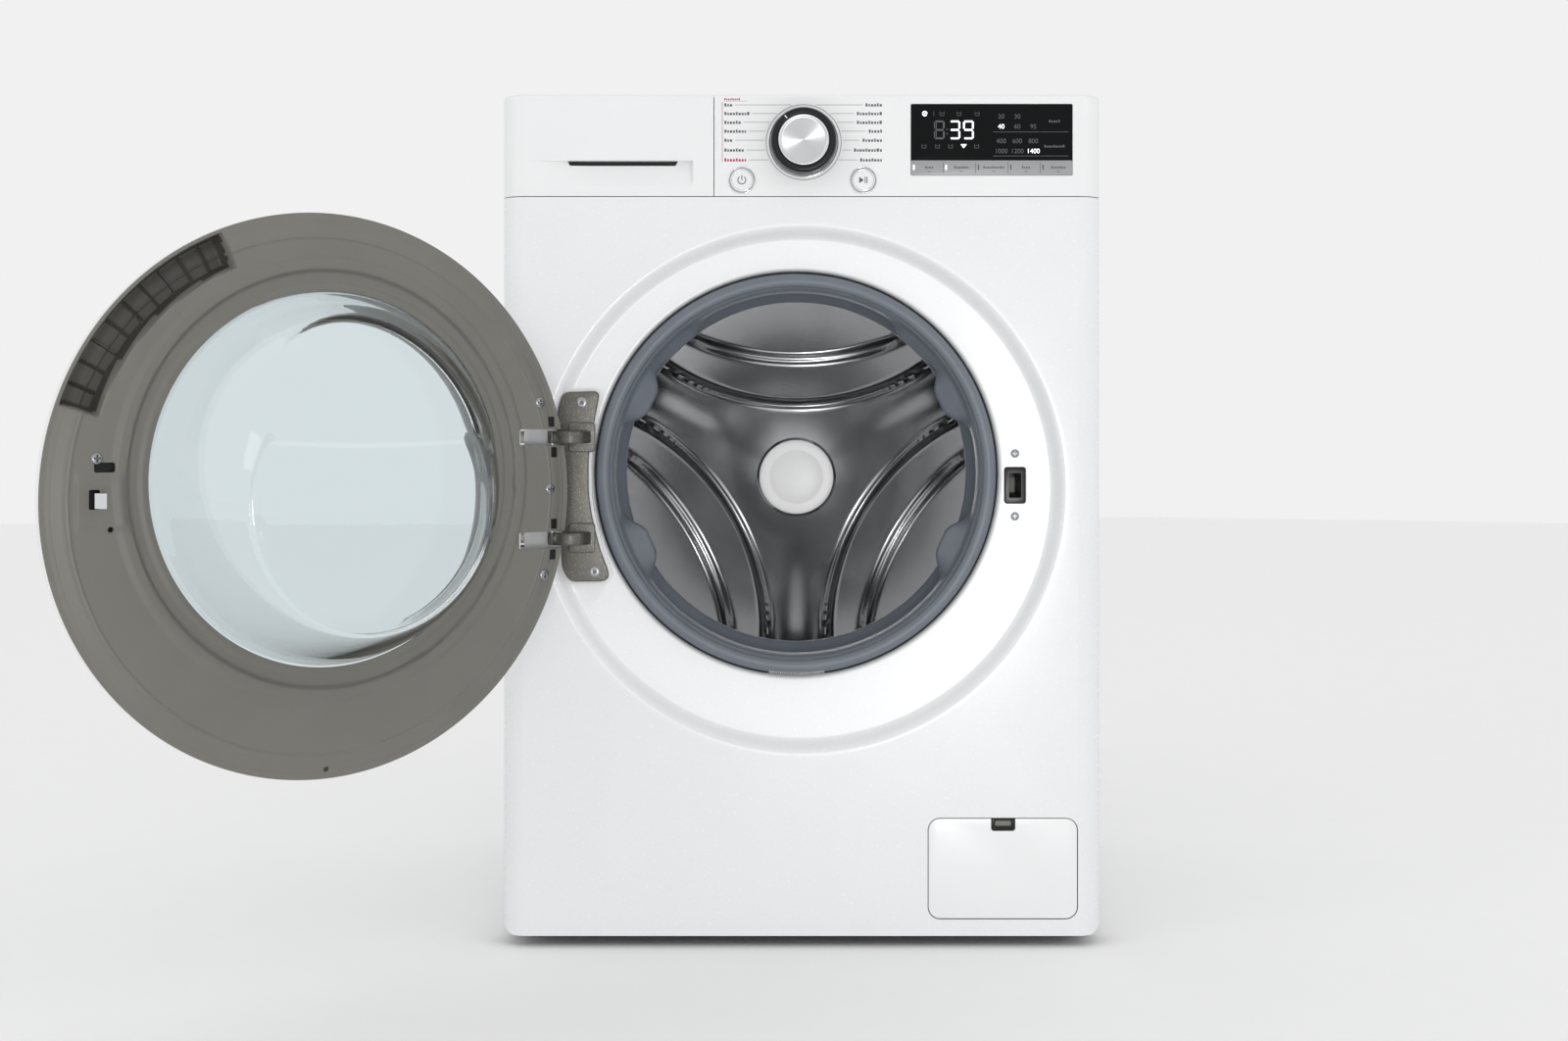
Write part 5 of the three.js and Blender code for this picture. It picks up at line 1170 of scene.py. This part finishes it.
def frame_depth(x, z):
    """How deep the inner frame's face lies at a place: a flat with a shoulder falling at the rim, a stepped
    seat round the glass, a raised latch pad, and the sloping finger pocket with its ribs."""
    u, v = x - DISH[0], z - DISH[1]
    r, turn = np.hypot(u, v), np.degrees(np.arctan2(v, u))
    glass = np.hypot(x - PORTHOLE[0], z - PORTHOLE[1])
    depth = 0.5 + 4.5 * smooth((r - 239) / 17)
    depth = depth - 0.9 * np.exp(-((r - 236.5) / 1.1) ** 2) - 0.5 * np.exp(-((r - 251.5) / 0.8) ** 2)
    depth = depth - 2.2 * smooth((205 - glass) / 5) + 3.6 * smooth((192.5 - glass) / 4)
    depth = depth - 1.6 * smooth((181 - glass) / 3)
    pad = np.minimum(np.minimum(x - 184, 230.6 - x), np.minimum(z - 431, 479 - z))
    depth = depth - 1.7 * smooth(pad / 2.6) * smooth((glass - 193) / 4)
    ends = np.minimum(turn - 18.5, 67.7 - turn) * np.radians(r)
    inside = np.minimum(ends, np.minimum(r - 222, 256.4 - r) * 1.6)
    sink = smooth(inside / 9)
    rib = sum(np.exp(-((turn - centre) * np.radians(r) / 1.0) ** 2) for centre in np.linspace(24, 62.5, 9))
    return depth + sink * (17 - 4 * np.clip(rib, 0, 1) * smooth((inside - 6) / 5))


def door_frame():
    """The inner frame: its face's depth is a field over a polar grid between the glass and the rim, and a
    wall of 2.5 mm lies behind it."""
    turn = np.radians(np.concatenate([np.arange(16.5, 69.5, 0.25), np.arange(69.5, 376.5, 1.0)]))[None, :]
    inner_ray = glass_reach(turn, GLASS_RADIUS)
    share = np.concatenate([np.linspace(0, 0.62, 34), np.linspace(0.63, 1, 44)])[:, None]
    r = inner_ray + share * (258.8 - inner_ray)
    x, z = DISH[0] + r * np.cos(turn), DISH[1] + r * np.sin(turn)
    depth = frame_depth(x, z)
    face = np.stack([x, FRONT - depth, z], -1)
    behind = face - [0, 2.5, 0]
    made = mesh_object("door_frame", shell(face, behind, wrap_columns=True), sharp=42)
    cuts = [plate(box_outline(-270, -201, z - 8, z + 8, 2.5), FRONT + 6, FRONT - 24) for z in ARM_HEIGHTS]
    holes = ((-239.4, 523.4), (-241.9, 493.4), (-241.7, 423), (-241, 392.8))
    cuts += [plate(box_outline(x - 4.4, x + 4.4, z - 5, z + 5, 0.8), FRONT + 6, FRONT - 24) for x, z in holes]
    cuts += [plate(circle(x, z, 2.6, 24), FRONT + 6, FRONT - 9) for x, z in ((200, 431.5), (-0.3, 206))]
    cuts += [plate(box_outline(196, 214, 480.5, 489, 2), FRONT + 6, FRONT - 9)]
    cuts += [plate(box_outline(209.5, 219, 449, 466, 1.5), FRONT + 6, FRONT - 9)]
    carve(made, cuts, sharp=42)
    # Faces deeper than 8.5 mm get a darker grey: painted shade in the finger pocket
    low = [face.index for face in made.data.polygons if FRONT - face.center[1] / MM > 8.5]
    swing(made)
    place(made, "grey_moulding", "door", ["door_inner_frame"])
    made.data.materials.append(POCKET_SHADE)
    for index in low:
        made.data.polygons[index].material_index = 1
    # Near black plates behind the frame's holes and the latch's pocket: painted shade for the shadow seen through them
    shade_plates = [plate(box_outline(x - 5, x + 5, z - 6, z + 6, 1), FRONT - 6.5, FRONT - 7.5) for x, z in holes]
    shade_plates += [plate(box_outline(194, 221, 429, 492, 2), FRONT - 5, FRONT - 6)]
    hollow_shade = mesh_object("door_frame_hollow_shade", swung(joined(shade_plates)))
    place(hollow_shade, "black_moulding", "door", material=PAINTED_GAP_SHADE)
    for index, (x, z) in enumerate(((211.8, 492.5), (-224.8, 542.1), (-236.2, 457.4), (-229.5, 373.3))):
        head = swung(screw_head(x, z, FRONT - 0.7, 5.2, toward=1))
        place(mesh_object(f"door_screw_{index}", head, sharp=40), "machined_steel", "door")
    for index, z in enumerate(ARM_HEIGHTS):
        cup = rounded([(-224, 30), (-213, 28.5), (-206, 17), (-202.5, 1.0)], 8)
        cup[:, 1] = FRONT - cup[:, 1]
        side = ribbon(cup, 1.2)
        made = mesh_object(f"hinge_receiver_{index}", swung(lofted([lying_loop(side, z - 7.8),
                                                                   lying_loop(side, z + 7.8)])))
        place(made, "chrome_steel", "door")


def glass_reach(turn, radius):
    """How far the glass's round edge lies from the dish's centre in a direction."""
    offset = PORTHOLE - DISH
    along = offset[0] * np.cos(turn) + offset[1] * np.sin(turn)
    return along + np.sqrt(along ** 2 - offset @ offset + radius ** 2)


def bowl_skin(wall, bead):
    """One skin of the bowl. Loops go from a circle about the porthole to a smaller, lower one about the
    bottom's middle while the depth rises by 1 - (1 - t)^1.3, then shrink over a slightly domed bottom.
    Above a level a plane slants back to the wall, blended by a rounded minimum."""
    bottom, bottom_radius, turn = np.array([10.0, 453.0]), 113.0, np.linspace(0, 2 * np.pi, 240, endpoint=False)
    t = np.linspace(0, 1, 40)[:, None]
    reach = (170.6 - wall) * (1 - t) + (bottom_radius - wall * 0.6) * t
    depth = 118.0 * (1 - (1 - t) ** 1.3)
    share = np.linspace(0.97, 0.0, 26)[:, None] + 1e-4
    reach = np.concatenate([[[170.9]], reach, bottom_radius * share])
    depth = np.concatenate([[[-3.0 - wall]], depth, 118 + 2.4 * (1 - share ** 2)])
    t = np.concatenate([[[0.0]], t, np.ones_like(share)])
    x = (PORTHOLE[0] + t * (bottom[0] - PORTHOLE[0])) + reach * np.cos(turn)
    z = (PORTHOLE[1] + t * (bottom[1] - PORTHOLE[1])) + reach * np.sin(turn)
    depth = depth - wall * np.clip(depth / 20, 0, 1) - bead * np.exp(-((reach - bottom_radius + 3) / 2.6) ** 2)
    slant = 118 - wall - 0.66 * (z - 508)
    y = 0.5 * (depth + slant - np.sqrt((depth - slant) ** 2 + 3.0))
    y = np.where(t > 0, y, depth)
    return np.stack([x, FRONT + y, z], -1)


def door_bowl():
    """Pressed glass between two skins, with a bead along the edge of the inner skin's bottom."""
    bowl = mesh_object("door_glass", swung(shell(bowl_skin(0.0, 0.0), bowl_skin(4.0, 1.8), wrap_columns=True)),
                       sharp=50)
    place(bowl, "clear_glass", "door", ["door_bowl"])


# ---- back
def rear_cover():
    """The service cover: a rounded plate whose field steps out, held by eight screws round its edge."""
    low, high = span("rear_cover")
    outline = box_outline(low[0], high[0], low[2], high[2], 40, 10)
    parts = [plate(outline, low[1], high[1] - 0.6, 0.5)]
    parts.append(plate(inset(outline, 18), high[1] - 0.8, high[1], 0.55))
    made = mesh_object("service_cover", joined(parts))
    place(made, "galvanised_steel", "cabinet", ["rear_cover"])
    edge, middle_x, middle_z = 9, (low[0] + high[0]) / 2, (low[2] + high[2]) / 2
    spots = [(x, z) for x in (low[0] + edge, high[0] - edge) for z in (low[2] + 60, middle_z, high[2] - 60)]
    spots += [(middle_x, z) for z in (low[2] + edge, high[2] - edge)]
    heads = joined([screw_head(x, z, high[1] - 0.7, 4.2, toward=1, count=24) for x, z in spots])
    place(mesh_object("service_cover_screws", heads, sharp=40), "machined_steel", "cabinet")


# ---- the whole machine
front_panel()
control_console()
drawer_front()
top_panel()
side_panel(-1, "side_panel_left")
side_panel(1, "side_panel_right")
filter_flap()
display()
dial()
push_button("power_button", power_sign)
push_button("start_button", start_sign)
gasket()
door_lock()
hinge_bracket()
drum()
door_cover()
door_frame()
door_bowl()
rear_cover()

for row in frame["record"]["subparts"]:
    node = frame["nodes"][row["node"]]
    node.data.materials.clear()
    node.data.materials.append(FINISHES[row["material_slot"]])


# ---- floor, light and view
def studio():
    """A wide pale floor, a white room, and three soft lamps."""
    section = [(0, 0), (9000, 0), (9000, -30), (0, -30)]
    disc = mesh_object("studio_floor", turned(section, 0, 0, 96, closed=False))
    disc.data.transform(Matrix.Rotation(math.pi / 2, 4, "X"))
    disc.data.materials.append(finish("studio_floor_paint", "#F8F8F8", "#F6F6F6", 0.8, 4.0, 0.01))
    world = bpy.data.worlds.new("studio_air")
    world.use_nodes = True
    world.node_tree.nodes["Background"].inputs["Color"].default_value = (1, 1, 1, 1)
    world.node_tree.nodes["Background"].inputs["Strength"].default_value = 0.88
    scene.world = world
    for name, place, aim, size, power in (
            ("lamp_left", (-2.6, -2.2, 2.0), (0, 0, 0.5), 1.2, 5),
            ("lamp_right", (2.6, -2.0, 1.8), (0, 0, 0.5), 1.2, 3),
            ("lamp_front", (0.3, -3.0, 0.25), (0, 0, 0.45), 0.4, 12)):
        lamp = bpy.data.lights.new(name, "AREA")
        lamp.size = size
        lamp.energy = power
        made = bpy.data.objects.new(name, lamp)
        made.location = place
        made.rotation_euler = (Vector(aim) - Vector(place)).to_track_quat("-Z", "Y").to_euler()
        scene.collection.objects.link(made)
    scene.view_settings.view_transform = "Standard"


studio()
